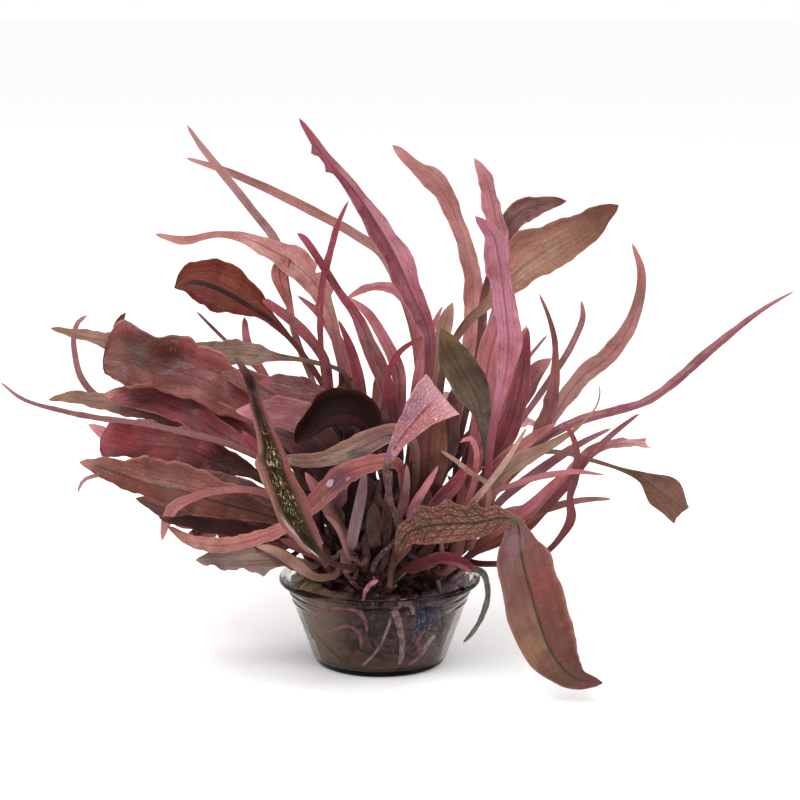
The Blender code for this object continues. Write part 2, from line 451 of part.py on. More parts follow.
def unit(vectors):
    return vectors / np.maximum(np.linalg.norm(vectors, axis=-1, keepdims=True), 1e-9)


def leaf_frames(centres, lifts, twists):
    """For each place on each leaf: the ways along the leaf, across it and out of its upper face."""
    along = unit(np.gradient(centres, axis=1))
    to_eye = unit(EYE - centres)
    lifts = np.radians(lifts)[:, None, None]
    face = np.cos(lifts) * to_eye + np.sin(lifts) * UP
    across = unit(np.cross(along, face))
    for place in range(1, across.shape[1]):
        turned_over = (across[:, place] * across[:, place - 1]).sum(-1, keepdims=True) < 0
        across[:, place] = np.where(turned_over, -across[:, place], across[:, place])
    for _ in range(3):
        across[:, 1:-1] = across[:, :-2] + across[:, 1:-1] + across[:, 2:]
        across = unit(across - (across * along).sum(-1, keepdims=True) * along)
    out = np.cross(across, along)
    turn = np.radians(twists)[:, None, None] * np.linspace(0, 1, centres.shape[1])[None, :, None]
    across = np.cos(turn) * across + np.sin(turn) * out
    return along, across, np.cross(across, along)


def thickness_of(widths):
    """A leaf's thickness, which is less where the leaf is very narrow."""
    return np.minimum(LEAF_THICKNESS, THICKNESS_SHARE * widths)


def pushes_apart(centres, sizes, frames, owners):
    """How far each place has to move to clear the leaves and crowns near it, taken as small boxes."""
    reach = np.linalg.norm(sizes, axis=1)
    squares = (centres**2).sum(1)
    apart = squares[:, None] + squares[None, :] - 2 * centres @ centres.T
    limit = (reach[:, None] + reach[None, :] + ELBOW_ROOM) ** 2
    first, second = np.nonzero(np.triu(apart < limit, 1) & (owners[:, None] != owners[None, :]))
    between = centres[second] - centres[first]
    crossed = np.cross(frames[first, 0], frames[second, 0])
    crossed = np.where(np.linalg.norm(crossed, axis=1, keepdims=True) > 0.2, crossed, between)
    ways = [frames[first, 1], frames[first, 2], frames[second, 1], frames[second, 2], crossed]
    ways = unit(np.stack(ways, axis=1))
    depth = np.abs(np.einsum("pki,pai->pka", ways, frames[first])) @ sizes[first][:, :, None]
    depth += np.abs(np.einsum("pki,pai->pka", ways, frames[second])) @ sizes[second][:, :, None]
    distance = np.einsum("pki,pi->pk", ways, between)
    clear = np.abs(distance) - depth[:, :, 0]
    best = clear.argmax(1)
    row = np.arange(len(best))
    short = ELBOW_ROOM - clear[row, best]
    push = ways[row, best] * (np.where(distance[row, best] < 0, -1, 1) * np.maximum(short, 0) / 2)[:, None]
    total = np.zeros_like(centres)
    count = np.full(len(centres), 1e-9)
    np.add.at(total, first, -push)
    np.add.at(total, second, push)
    np.add.at(count, first, short > 0)
    np.add.at(count, second, short > 0)
    return total / count[:, None]


def clear_of_pot(centres, half_thickness):
    """Lifts what lies too low over the gel or the rim, and pushes what hangs outside off the rim."""
    out = np.linalg.norm(centres[..., :2], axis=-1)
    lip = POT_RIM_RADIUS + POT_LIP + ELBOW_ROOM + half_thickness
    over_wall = out > POT_RIM_RADIUS - POT_WALL - ELBOW_ROOM - half_thickness
    lowest = np.where(over_wall, POT_HEIGHT, GEL_TOP + GEL_DOME) + ELBOW_ROOM + half_thickness
    low = (out < lip) & (centres[..., 2] < lowest)
    lift = np.where(low, lowest - centres[..., 2], 0.0)
    aside = np.where(low, lip - out, 0.0)
    by_side = aside < lift
    centres[..., 2] += np.where(by_side, 0.0, lift)
    centres[..., :2] *= np.where(by_side, 1 + aside / np.maximum(out, 1e-9), 1.0)[..., None]


def settle(routes, lifts, twists, fixed):
    """Moves leaves that would pass through each other apart, a little at a time, and keeps them smooth."""
    leaves, places = routes.shape[:2]
    posts = fixed.reshape(-1, 3)
    owners = np.concatenate([np.repeat(np.arange(leaves), places), np.repeat(leaves, len(posts))])
    post_sizes = np.tile([CROWN_RADIUS, CROWN_RADIUS, 0.5], (len(posts), 1))
    post_frames = np.tile(np.eye(3), (len(posts), 1, 1))
    freedom = np.clip((np.arange(places) - 1) / (HELD_PLACES - 1), 0.0, 1.0)[None, :, None]
    centres = routes[..., :3].copy()
    widths = routes[..., 3]
    for _ in range(SETTLE_ROUNDS):
        frames = np.stack(leaf_frames(centres, lifts, twists), axis=2)
        step = np.linalg.norm(np.gradient(centres, axis=1), axis=2)
        sizes = np.stack([step / 2, widths / 2, thickness_of(widths) / 2], axis=-1)
        pushes = pushes_apart(
            np.concatenate([centres.reshape(-1, 3), posts]),
            np.concatenate([sizes.reshape(-1, 3), post_sizes]),
            np.concatenate([frames.reshape(-1, 3, 3), post_frames]),
            owners,
        )
        moves = pushes[: leaves * places].reshape(leaves, places, 3)
        for _ in range(3):
            moves[:, 1:-1] = (moves[:, :-2] + 2 * moves[:, 1:-1] + moves[:, 2:]) / 4
        centres += SETTLE_STEP * freedom * moves
        clear_of_pot(centres, thickness_of(widths) / 2)
    return np.concatenate([centres, widths[..., None]], axis=-1)


def leaf_outline(width, thickness, fold):
    """The six points of a leaf's section: across the leaf, and out of its upper face."""
    margin = width / 2
    rise = fold * margin
    rib = RIB_PLACE * margin
    upper = RIB_PLACE * rise + thickness / 2
    lower = upper - thickness
    return [(-margin, rise), (-rib, upper), (rib, upper), (margin, rise), (rib, lower), (-rib, lower)]


def round_outline(width, _thickness, _fold):
    turns = [tau * corner / LEAF_SIDES for corner in range(LEAF_SIDES)]
    return [(width / 2 * cos(turn), width / 2 * sin(turn)) for turn in turns]


def lofted(route, across, out, outline, fold=0.0):
    """A closed solid drawn along a route, by extruding its end face from place to place."""
    shape = bmesh.new()
    bmesh.ops.create_circle(shape, cap_ends=True, segments=LEAF_SIDES, radius=1.0)
    end = shape.faces[:][0]
    for place in range(len(route)):
        if place:
            grown = bmesh.ops.extrude_face_region(shape, geom=[end])["geom"]
            if place > 1:
                bmesh.ops.delete(shape, geom=[end], context="FACES_ONLY")
            end = next(face for face in grown if isinstance(face, bmesh.types.BMFace))
        width = route[place, 3]
        section = outline(width, thickness_of(width), fold)
        for corner, (sideways, outwards) in zip(end.verts, section):
            corner.co = route[place, :3] + sideways * across[place] + outwards * out[place]
    return shape


def make_leaf(leaf, route):
    fine = smooth_route(route, leaf_places(leaf))
    _along, across, out = leaf_frames(fine[None, :, :3], [leaf.lift], [leaf.twist])
    return add_object(leaf.name, lofted(fine, across[0], out[0], leaf_outline, leaf.fold), leaf.tint)


def leaf_places(leaf):
    """More places along a leaf whose route has more turns."""
    return max(LEAF_PLACES, len(leaf.route) + 2)


def make_root(name, tint, route):
    _along, across, out = leaf_frames(route[None, :, :3], [0.0], [0.0])
    return add_object(name, lofted(route, across[0], out[0], round_outline), tint)


def channel_route(route):
    """The route of a root's channel: wider than the root, past its lower end, and out of the gel's top."""
    wider = route + [0.0, 0.0, 0.0, 2 * GAP]
    mouth = wider[0] + [0.0, 0.0, CHANNEL_LIFT, 0.0]
    foot = wider[-1] + GAP * np.append(unit(wider[-1, :3] - wider[-2, :3]), 0.0)
    return np.vstack([mouth, wider, foot])


def make_gel_roots():
    """Makes the roots in the gel, and returns for each the body that cuts its channel."""
    channels = []
    for name, (tint, places) in GEL_ROOTS.items():
        route = smooth_route([placed(*place) for place in places], ROOT_PLACES)
        make_root(name, tint, route)
        channels.append(make_root("channel_" + name, tint, channel_route(route)))
    return channels


def make_rim_root():
    """One root that left the gel and hangs down outside the pot."""
    route = smooth_route([placed(*place) for place in RIM_ROOT], ROOT_PLACES)
    make_root("root_over_rim", "olive_root", route)


def make_leaves():
    knots = petiole_knots()
    routes = np.array([smooth_route(knots[leaf.name], SETTLE_PLACES) for leaf in LEAVES])
    lifts = [leaf.lift for leaf in LEAVES]
    twists = [leaf.twist for leaf in LEAVES]
    heights = np.arange(0.5, CROWN_HEIGHT, 1.0)
    posts = np.array([
        [(right, -near, CROWN_FOOT + height) for height in heights] for right, near in CROWNS.values()])
    for leaf, route in zip(LEAVES, settle(routes, lifts, twists, posts)):
        make_leaf(leaf, route)


clear_scene()
make_pot()
make_gel(make_gel_roots())
for crown_name, (crown_right, crown_near) in CROWNS.items():
    make_crown(crown_name, crown_right, crown_near)
make_rim_root()
make_leaves()
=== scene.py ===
"""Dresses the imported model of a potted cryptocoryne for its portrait.

The plant is a dense clump of narrow crimson, rose and bronze leaves. They grow from six short stems
in a plug of murky rooting gel, which fills a small clear pot. Lengths are in millimetres until a
piece is finished, and add_piece makes them metres.
"""

from collections import namedtuple
from math import atan2, cos, pi, radians, sin, tau

import bmesh
import bpy
import numpy as np
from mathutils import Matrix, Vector


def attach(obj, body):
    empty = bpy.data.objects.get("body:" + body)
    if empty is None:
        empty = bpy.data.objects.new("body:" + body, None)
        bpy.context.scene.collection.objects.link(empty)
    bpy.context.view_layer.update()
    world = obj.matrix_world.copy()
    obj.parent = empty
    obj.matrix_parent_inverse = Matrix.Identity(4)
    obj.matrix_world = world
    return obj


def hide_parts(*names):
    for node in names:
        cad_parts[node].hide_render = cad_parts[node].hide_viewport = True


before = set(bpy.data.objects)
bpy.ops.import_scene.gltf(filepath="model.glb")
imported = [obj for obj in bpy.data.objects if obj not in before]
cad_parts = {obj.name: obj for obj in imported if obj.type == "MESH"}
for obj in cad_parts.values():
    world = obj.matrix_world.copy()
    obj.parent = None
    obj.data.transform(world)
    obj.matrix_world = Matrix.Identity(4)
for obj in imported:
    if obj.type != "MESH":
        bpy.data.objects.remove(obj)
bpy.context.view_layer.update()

MM = 0.001

# The camera stands in front of the plant and looks a little down at it. It is far enough away
# for the near and the far leaves to keep their sizes. The view is 160 mm wide at the pot's axis.
VIEW_TILT = radians(11.0)
VIEW_DISTANCE = 420.0
VIEW_MIDDLE = (4.0, 51.4)
VIEW_WIDTH = 160.0
VIEW_UP = np.array([0.0, sin(VIEW_TILT), cos(VIEW_TILT)])
VIEW_AHEAD = np.array([0.0, cos(VIEW_TILT), -sin(VIEW_TILT)])
RIGHT = np.array([1.0, 0.0, 0.0])
UP = np.array([0.0, 0.0, 1.0])
EYE = VIEW_MIDDLE[0] * RIGHT + VIEW_MIDDLE[1] * VIEW_UP - VIEW_DISTANCE * VIEW_AHEAD

lens = bpy.data.cameras.new("portrait_lens")
lens.lens = lens.sensor_width * VIEW_DISTANCE / VIEW_WIDTH
camera = bpy.data.objects.new("portrait_camera", lens)
camera.location = EYE * MM
camera.rotation_euler = (pi / 2 - VIEW_TILT, 0.0, 0.0)
bpy.context.scene.collection.objects.link(camera)
bpy.context.scene.camera = camera
bpy.context.scene.view_settings.view_transform = "Standard"


# The studio: a white room light from all sides, one large soft lamp above the front left,
# and a weaker one behind the right. Each lamp has its place and side in metres, and its watts.
ROOM_LIGHT = 1.0
LAMP_AIM = (0.0, 0.0, 0.045)
LAMPS = {
    "soft_lamp_front": ((-0.35, -0.45, 0.85), 0.50, 6.5),
    "soft_lamp_back": ((0.55, 0.50, 0.60), 0.40, 2.5),
}


def add_lamp(name, place, side, watts):
    """A square soft lamp that faces the middle of the plant."""
    light = bpy.data.lights.new(name, "AREA")
    light.size = side
    light.energy = watts
    lamp = bpy.data.objects.new(name, light)
    lamp.location = place
    toward = np.array(LAMP_AIM) - np.array(place)
    tilt = atan2(np.hypot(*toward[:2]), -toward[2])
    lamp.rotation_euler = (tilt, 0.0, atan2(toward[1], toward[0]) - pi / 2)
    bpy.context.scene.collection.objects.link(lamp)


for lamp_name, (lamp_place, lamp_side, lamp_watts) in LAMPS.items():
    add_lamp(lamp_name, lamp_place, lamp_side, lamp_watts)

room = bpy.data.worlds.new("white_room")
room.use_nodes = True
room.node_tree.nodes["Background"].inputs["Color"].default_value = (1.0, 1.0, 1.0, 1.0)
room.node_tree.nodes["Background"].inputs["Strength"].default_value = ROOM_LIGHT
bpy.context.scene.world = room


class Socket:
    """An output of a material's node. Sums and products of sockets add their Math nodes."""

    def __init__(self, finish, output):
        self.finish = finish
        self.output = output

    def math(self, operation, *values):
        return self.finish.node("ShaderNodeMath", {"operation": operation}, dict(enumerate(values)))

    def __add__(self, other):
        return self.math("ADD", self, other)

    def __sub__(self, other):
        return self.math("SUBTRACT", self, other)

    def __rsub__(self, other):
        return self.math("SUBTRACT", other, self)

    def __mul__(self, other):
        return self.math("MULTIPLY", self, other)

    def __abs__(self):
        return self.math("ABSOLUTE", self)

    __radd__ = __add__
    __rmul__ = __mul__

    def sine(self):
        return self.math("SINE", self)

    def rise(self, low, high):
        """0 below low and 1 above high, with a smooth rise between. It falls if low is above high."""
        settings = {"interpolation_type": "SMOOTHSTEP"}
        values = {"Value": self, "From Min": low, "From Max": high}
        return self.finish.node("ShaderNodeMapRange", settings, values)


class Finish:
    """A procedural material, made with few words."""

    def __init__(self, name):
        self.material = bpy.data.materials.new(name)
        self.material.use_nodes = True
        self.tree = self.material.node_tree
        self.shader = self.tree.nodes["Principled BSDF"]

    def feed(self, node, values):
        for name, value in values.items():
            if isinstance(value, Socket):
                self.tree.links.new(value.output, node.inputs[name])
            else:
                node.inputs[name].default_value = value

    def node(self, kind, settings, values, output=0):
        """Adds a node, sets it up, and gives its sockets their values or links."""
        node = self.tree.nodes.new(kind)
        for name, value in settings.items():
            setattr(node, name, value)
        self.feed(node, values)
        return Socket(self, node.outputs[output])

    def place(self):
        """The place on the object, in millimetres."""
        coordinates = self.tree.nodes.new("ShaderNodeTexCoord")
        settings = {"operation": "SCALE"}
        values = {"Vector": Socket(self, coordinates.outputs["Object"]), "Scale": 1 / MM}
        return self.node("ShaderNodeVectorMath", settings, values)

    def mark(self, name):
        """A number that the mesh carries at each of its corners."""
        return self.node("ShaderNodeAttribute", {"attribute_name": name}, {}, "Fac")

    def noise(self, place, scale, detail=2.0, distortion=0.0):
        values = {"Vector": place, "Scale": scale, "Detail": detail, "Distortion": distortion}
        return self.node("ShaderNodeTexNoise", {}, values)

    def distance(self, place, end):
        values = {0: place, 1: end}
        return self.node("ShaderNodeVectorMath", {"operation": "DISTANCE"}, values, "Value")

    def mix(self, share, first, second):
        """A colour that turns from the first to the second as share goes from 0 to 1."""
        settings = {"data_type": "RGBA"}
        return self.node("ShaderNodeMix", settings, {0: share, 6: first, 7: second}, 2)

    def bump(self, height, depth, strength=1.0):
        values = {"Height": height, "Distance": depth * MM, "Strength": strength}
        return self.node("ShaderNodeBump", {}, values)

    def shade(self, **values):
        """Sets the shader's sockets, which are named with _ for a space."""
        self.feed(self.shader, {name.replace("_", " "): value for name, value in values.items()})


def paint(red, green, blue):
    """A colour from its three parts, each from 0 to 255 as on a screen."""
    parts = [part / 255 for part in (red, green, blue)]
    return (*[part / 12.92 if part < 0.04 else ((part + 0.055) / 1.055) ** 2.4 for part in parts], 1.0)


# The table is one plain white sheet, which runs on past the view. It lies a hair below the pot's foot.
TABLE_RADIUS = 9000.0
TABLE_TOP = -0.05
TABLE_WHITE = (0.95, 0.95, 0.95, 1.0)
TABLE_LIGHT_WHITE = (0.97, 0.97, 0.97, 1.0)

shape = bmesh.new()
bmesh.ops.create_circle(shape, cap_ends=True, segments=96, radius=TABLE_RADIUS * MM)
bmesh.ops.translate(shape, verts=shape.verts, vec=(0.0, 0.0, TABLE_TOP * MM))
sheet = bpy.data.meshes.new("white_table")
shape.to_mesh(sheet)
shape.free()
sheet_finish = Finish("white_table")
grain = sheet_finish.noise(sheet_finish.place(), 0.4, 4.0)
sheet_finish.shade(
    Base_Color=sheet_finish.mix(grain, TABLE_WHITE, TABLE_LIGHT_WHITE),
    Roughness=0.6 + 0.2 * grain,
    Normal=sheet_finish.bump(grain, 0.02))
sheet.materials.append(sheet_finish.material)
table = bpy.data.objects.new("white_table", sheet)
bpy.context.scene.collection.objects.link(table)


# The pot is a small clear culture pot, moulded in one piece from thin plastic with a smoky tint. It
# tapers towards its flat foot. Two fine rings under its rounded lip stiffen the rim.
POT_HEIGHT = 17.2
POT_BASE_RADIUS = 13.0
POT_RIM_RADIUS = 19.0
POT_LIP = 1.0
POT_WALL = 0.8
POT_FLOOR = 1.0
POT_FOOT_EDGE = 0.6
POT_RECESS = 0.35
POT_LIP_ROUNDING = 0.5
POT_CORNER = 0.6
POT_RINGS = (12.6, 14.2)
POT_RING_RADIUS = 0.07
POT_STEPS = 120


def pot_radius(height):
    """The radius of the pot's outside at a height above its base."""
    return POT_BASE_RADIUS + (POT_RIM_RADIUS - POT_BASE_RADIUS) * height / POT_HEIGHT


def turned(profile, steps):
    """A solid turned about an upright axis. Its profile of (radius, height) begins and ends on it."""
    shape = bmesh.new()
    points = [shape.verts.new((radius, 0.0, height)) for radius, height in profile]
    edges = [shape.edges.new(pair) for pair in zip(points, points[1:])]
    bmesh.ops.spin(
        shape, geom=points + edges, axis=(0, 0, 1), cent=(0, 0, 0), angle=tau, steps=steps,
        use_merge=True)
    bmesh.ops.remove_doubles(shape, verts=shape.verts, dist=1e-4)
    return shape


def add_piece(name, shape, finish, slot, *nodes):
    """Puts a finished shape into the scene as one closed piece, in place of its CAD nodes."""
    bmesh.ops.recalc_face_normals(shape, faces=shape.faces)
    bmesh.ops.scale(shape, vec=(MM, MM, MM), verts=shape.verts)
    mesh = bpy.data.meshes.new(name)
    shape.to_mesh(mesh)
    shape.free()
    mesh.shade_smooth()
    mesh.materials.append(finish.material)
    piece = bpy.data.objects.new(name, mesh)
    bpy.context.scene.collection.objects.link(piece)
    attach(piece, "root")
    if nodes:
        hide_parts(*nodes)
    return piece


def arc(middle, radius, start, end, steps):
    """Points of (radius, height) on an arc of a profile, from one angle in degrees to another."""
    turns = np.radians(np.linspace(start, end, steps))
    return [(middle[0] + radius * cos(turn), middle[1] + radius * sin(turn)) for turn in turns]


def pot_profile():
    """The pot's outline: its recessed foot, its outer wall with the rings and lip, and its inner wall."""
    outer = [(0.0, POT_RECESS), (10.6, POT_RECESS), (11.0, 0.0)]
    outer += arc((POT_BASE_RADIUS - POT_FOOT_EDGE, POT_FOOT_EDGE), POT_FOOT_EDGE, -90, -12, 6)
    outer += [(pot_radius(height), height) for height in np.linspace(1.5, 11.8, 6)]
    for height in POT_RINGS:
        outer += arc((pot_radius(height), height), POT_RING_RADIUS, -80, 80, 6)
    outer += [(pot_radius(15.4), 15.4), (pot_radius(15.9), 15.9)]
    lip_outside = (POT_RIM_RADIUS + POT_LIP - POT_LIP_ROUNDING, POT_HEIGHT - POT_LIP_ROUNDING)
    lip_inside = (POT_RIM_RADIUS - POT_WALL + POT_LIP_ROUNDING, POT_HEIGHT - POT_LIP_ROUNDING)
    outer += arc(lip_outside, POT_LIP_ROUNDING, -90, 90, 9)
    outer += arc(lip_inside, POT_LIP_ROUNDING, 90, 180, 5)
    inner = [(pot_radius(height) - POT_WALL, height) for height in np.linspace(POT_HEIGHT - 1.2, 1.8, 8)]
    corner = (pot_radius(1.5) - POT_WALL - POT_CORNER, POT_FLOOR + POT_CORNER)
    return outer + inner + arc(corner, POT_CORNER, 0, -90, 5) + [(0.0, POT_FLOOR)]


pot_finish = Finish("clear_plastic")
haze = pot_finish.noise(pot_finish.place(), 0.35, 4.0)
scratches = pot_finish.noise(pot_finish.place(), 3.0, 3.0, 2.0).rise(0.62, 0.75)
smoke = {"Color": (0.52, 0.43, 0.36, 1.0), "Density": 540.0}
tint = pot_finish.node("ShaderNodeVolumeAbsorption", {}, smoke)
pot_finish.feed(pot_finish.tree.nodes["Material Output"], {"Volume": tint})
pot_finish.shade(
    Base_Color=pot_finish.mix(haze, (0.96, 0.97, 0.96, 1.0), (1.0, 1.0, 1.0, 1.0)),
    Roughness=0.02 + 0.05 * haze + 0.08 * scratches,
    IOR=1.18,
    Transmission_Weight=1.0,
    Normal=pot_finish.bump(haze, 0.05, 0.3))
add_piece("clear_pot", turned(pot_profile(), POT_STEPS), pot_finish, "pot", "pot")


# The gel is the murky plug that the plants were rooted in. It has set to the pot's shape, with
# a lumpy wet top. It is clear in some places and clouded in others, and darkens with depth.
GAP = 0.35
GEL_TOP = 14.0
GEL_DOME = 0.6
GEL_FOOT = POT_FLOOR + 0.15
GEL_INSET = POT_WALL + GAP
GEL_CORNER = 0.8
GEL_STEPS = 96
BLUE_GLINTS_AT = (9.4, -12.6, 11.6)


def gel_shape():
    """The plug, with a dome that swells into lumps at its top and shallow dents down its sides."""
    heights = np.linspace(GEL_FOOT + GEL_CORNER, GEL_TOP - 0.8, 14)
    corner = pot_radius(GEL_FOOT) - GEL_INSET - GEL_CORNER
    profile = [(0.0, GEL_FOOT), (5.0, GEL_FOOT), (9.0, GEL_FOOT)]
    profile += [
        (corner + GEL_CORNER * sin(turn), GEL_FOOT + GEL_CORNER - GEL_CORNER * cos(turn))
        for turn in (0.3, 0.8)]
    profile += [(pot_radius(height) - GEL_INSET, height) for height in heights]
    profile += [(pot_radius(GEL_TOP) - GEL_INSET - 0.2, GEL_TOP - 0.2)]
    profile += [
        (radius, GEL_TOP + GEL_DOME * (1 - (radius / 18) ** 2)) for radius in np.linspace(16.6, 0.0, 16)]
    gel = turned(profile, GEL_STEPS)
    for point in gel.verts:
        x, y, z = point.co
        top = max(0.0, (z - GEL_TOP + 2.0) / 2.0)
        lumps = sin(0.9 * x + 1.3) * sin(1.1 * y) + 0.5 * sin(2.3 * x - 1.7 * y) + 0.4 * sin(3.1 * y + x)
        point.co.z += 0.35 * top * lumps * (1 - (np.hypot(x, y) / 19.5) ** 6)
        dents = sin(5 * atan2(y, x) + 0.6 * z) + sin(9 * atan2(y, x) - 0.9 * z)
        shrink = 1 - 0.003 * (2 + dents) * min(1.0, (z - GEL_FOOT) / 3)
        point.co.x *= shrink
        point.co.y *= shrink
    return gel


def gel_tone(finish, place, cloud, streaks, middle, blue):
    """Taupe on the left, mauve-grey on the right and purple-brown in the middle, with painted highlights:
    bluish-white flecks on the right, and blue glints on a navy patch as a painted reflection.
    """
    grit = finish.noise(place, 1.9, 3.0, 0.4)
    glints = finish.noise(place, 3.4, 2.0, 0.3)
    right = finish.node("ShaderNodeSeparateXYZ", {}, {"Vector": place})
    height = finish.node("ShaderNodeSeparateXYZ", {}, {"Vector": place}, "Z")
    tone = finish.mix(right.rise(-9.0, 9.0), paint(164, 140, 116), paint(124, 102, 118))
    streaked = (streaks + 0.3 * grit).rise(0.62, 0.82) * right.rise(-3.0, 4.0)
    tone = finish.mix(0.8 * streaked, tone, paint(176, 138, 154))
    dark = finish.mix(streaks.rise(0.44, 0.60), paint(24, 10, 14), paint(96, 60, 66))
    tone = finish.mix(0.94 * middle, tone, dark)
    settled = middle * (height + 8.0 * (cloud - 0.5)).rise(6.5, 1.5)
    tone = finish.mix(0.6 * settled, tone, paint(118, 92, 72))
    # Bluish-white flecks on the right are painted highlights.
    tone = finish.mix(0.55 * grit.rise(0.60, 0.70) * right.rise(2.0, 11.0), tone, paint(196, 200, 216))
    glinting = finish.mix(glints.rise(0.58, 0.64), paint(24, 20, 50), paint(160, 184, 240))
    return finish.mix(blue, tone, glinting)


def gel_finish():
    """A clear gel that turns cloudy in its middle and in patches."""
    finish = Finish("murky_gel")
    place = finish.place()
    cloud = finish.noise(place, 0.11, 3.0, 0.8)
    streaks = finish.noise(place, 0.45, 4.0, 1.5)
    right = finish.node("ShaderNodeSeparateXYZ", {}, {"Vector": place})
    middle = abs(right + 6.0 * (cloud - 0.5) - 0.5).rise(12.5, 5.5)
    # The blue patch is a painted reflection, and the gel is cloudier under it.
    away = finish.distance(place, BLUE_GLINTS_AT)
    blue = (away + 2.5 * (streaks - 0.5)).rise(4.2, 3.0)
    bumps = finish.bump(streaks + 2 * cloud, 0.35, 0.5)
    finish.shade(
        Base_Color=gel_tone(finish, place, cloud, streaks, middle, blue),
        Roughness=0.35 + 0.2 * streaks,
        IOR=1.2,
        Coat_Weight=0.06,
        Coat_Roughness=0.1,
        Subsurface_Weight=0.15,
        Subsurface_Radius=(1.0, 0.7, 0.6),
        Subsurface_Scale=1.0 * MM,
        Normal=bumps)
    clear = finish.node("ShaderNodeBsdfPrincipled", {}, {
        "Base Color": (0.94, 0.88, 0.83, 1.0), "Transmission Weight": 1.0, "IOR": 1.18,
        "Roughness": 0.05 + 0.08 * streaks, "Normal": bumps})
    murk = 0.50 + 0.25 * cloud.rise(0.40, 0.62) + 0.40 * middle + 0.3 * blue
    murky = Socket(finish, finish.shader.outputs[0])
    cloudy = finish.node("ShaderNodeMixShader", {}, {0: murk, 1: clear, 2: murky})
    stain = {"Color": (0.80, 0.66, 0.60, 1.0), "Density": 130.0}
    depth = finish.node("ShaderNodeVolumeAbsorption", {}, stain)
    finish.feed(finish.tree.nodes["Material Output"], {"Surface": cloudy, "Volume": depth})
    return finish


murky_gel = gel_finish()
add_piece("rooting_gel", gel_shape(), murky_gel, "gel", "gel")


def joined_shape(shapes):
    """Several closed shapes as one mesh."""
    whole = bmesh.new()
    for each in shapes:
        blank = bpy.data.meshes.new("one_of_them")
        each.to_mesh(blank)
        each.free()
        whole.from_mesh(blank)
        bpy.data.meshes.remove(blank)
    return whole


# Wet lumps of the same gel lie between the stems and all along the pot's wall. The ones between the
# stems are given by how far right, near and high they lie, and their radius.
GEL_LUMPS = [
    (7.0, 13.0, 15.0, 1.9), (3.0, 14.6, 14.9, 1.6), (-5.0, 13.6, 15.0, 1.8), (-11.0, -8.0, 15.2, 2.0),
    (11.5, -9.5, 15.2, 2.1), (5.0, 5.0, 15.4, 2.0), (-5.0, 4.4, 15.4, 1.9), (2.6, -5.6, 15.4, 1.8),
]
GEL_LUMPS += [
    (15.6 * cos(turn), 15.6 * sin(turn), 15.8 + 0.4 * sin(5 * turn), 2.5 + 0.4 * sin(3 * turn + 1))
    for turn in np.linspace(0.0, tau, 22, endpoint=False)]


def lump_shape(right, near, height, radius):
    """A swollen ball, pressed flat where it meets the pot's wall."""
    lump = bmesh.new()
    bmesh.ops.create_icosphere(lump, subdivisions=4, radius=radius)
    for point in lump.verts:
        x, y, z = 1.6 * point.co
        swell = 1 + 0.12 * sin(x + right) * sin(y + near) + 0.08 * sin(2.1 * z + right)
        point.co *= swell + 0.05 * sin(3 * x - 2 * y)
        point.co.z *= 0.62
    bmesh.ops.translate(lump, verts=lump.verts, vec=(right, -near, height))
    for point in lump.verts:
        out = np.hypot(point.co.x, point.co.y)
        shrink = min(1.0, (pot_radius(point.co.z) - POT_WALL - 0.2) / out)
        point.co.x *= shrink
        point.co.y *= shrink
    return lump


add_piece("gel_lumps", joined_shape([lump_shape(*lump) for lump in GEL_LUMPS]), murky_gel, "gel")


# In the middle of the gel the old stems and roots have grown into one dark knotted ball, which
# reaches from near the pot's floor to just above the gel.
BALL_PROFILE = [
    (0.0, 1.8), (3.4, 1.9), (6.2, 2.4), (7.8, 3.6), (8.8, 5.4), (9.6, 7.4), (10.4, 9.4), (11.0, 11.2),
    (11.8, 12.8), (12.2, 13.9), (11.4, 14.8), (8.6, 15.3), (5.0, 15.6), (0.0, 15.7)]


def ball_shape():
    radii, heights = zip(*BALL_PROFILE)
    corners = np.arange(len(BALL_PROFILE))
    stops = np.linspace(0, len(BALL_PROFILE) - 1, 50)
    outline = zip(np.interp(stops, corners, radii), np.interp(stops, corners, heights))
    ball = turned(list(outline), 90)
    for point in ball.verts:
        x, y, z = point.co
        turn = atan2(y, x)
        ridges = sin(7 * turn + 0.5 * z) + 0.7 * sin(13 * turn - 0.8 * z + 1.0)
        ridges += 0.6 * sin(3 * turn + 0.9 * z)
        lumps = sin(1.1 * x + 0.4) * sin(0.9 * z) + sin(1.3 * y) * sin(1.2 * z + 1.0)
        swell = 1 + 0.035 * ridges + 0.03 * lumps
        point.co.x *= swell
        point.co.y *= swell
        if z > 14.0:
            point.co.z += 0.5 * sin(1.3 * x) * sin(1.1 * y + 0.6)
    return ball


ball_finish = Finish("old_root_ball")
ball_place = ball_finish.place()
knots_of_root = ball_finish.noise(ball_place, 0.45, 5.0, 1.4)
fuzz = ball_finish.noise(ball_place, 2.2, 4.0, 0.6)
ball_tone = ball_finish.mix(knots_of_root.rise(0.38, 0.60), paint(30, 16, 18), paint(72, 44, 46))
ball_tone = ball_finish.mix(0.8 * fuzz.rise(0.58, 0.72), ball_tone, paint(112, 82, 84))
ball_finish.shade(
    Base_Color=ball_tone, Roughness=0.35 + 0.3 * fuzz, Coat_Weight=0.4, Coat_Roughness=0.15,
    Normal=ball_finish.bump(knots_of_root + 0.4 * fuzz, 0.9))
add_piece("old_root_ball", ball_shape(), ball_finish, "root_brown")


# Six short stems stand in the gel, and each carries a rosette. Their sides are ringed by the scars
# of fallen leaves, and each ends in a bud.
CROWN_RADIUS = 2.6
CROWN_HEIGHT = 8.0
CROWN_FOOT = GEL_TOP + GEL_DOME + GAP
CROWNS = {
    "crown_left": (-10.0, 2.0),
    "crown_back_left": (-6.0, -8.0),
    "crown_centre": (0.5, 0.0),
    "crown_front": (-1.0, 10.0),
    "crown_right": (10.0, 4.0),
    "crown_back_right": (6.5, -8.5),
}
CROWN_RINGS = 9


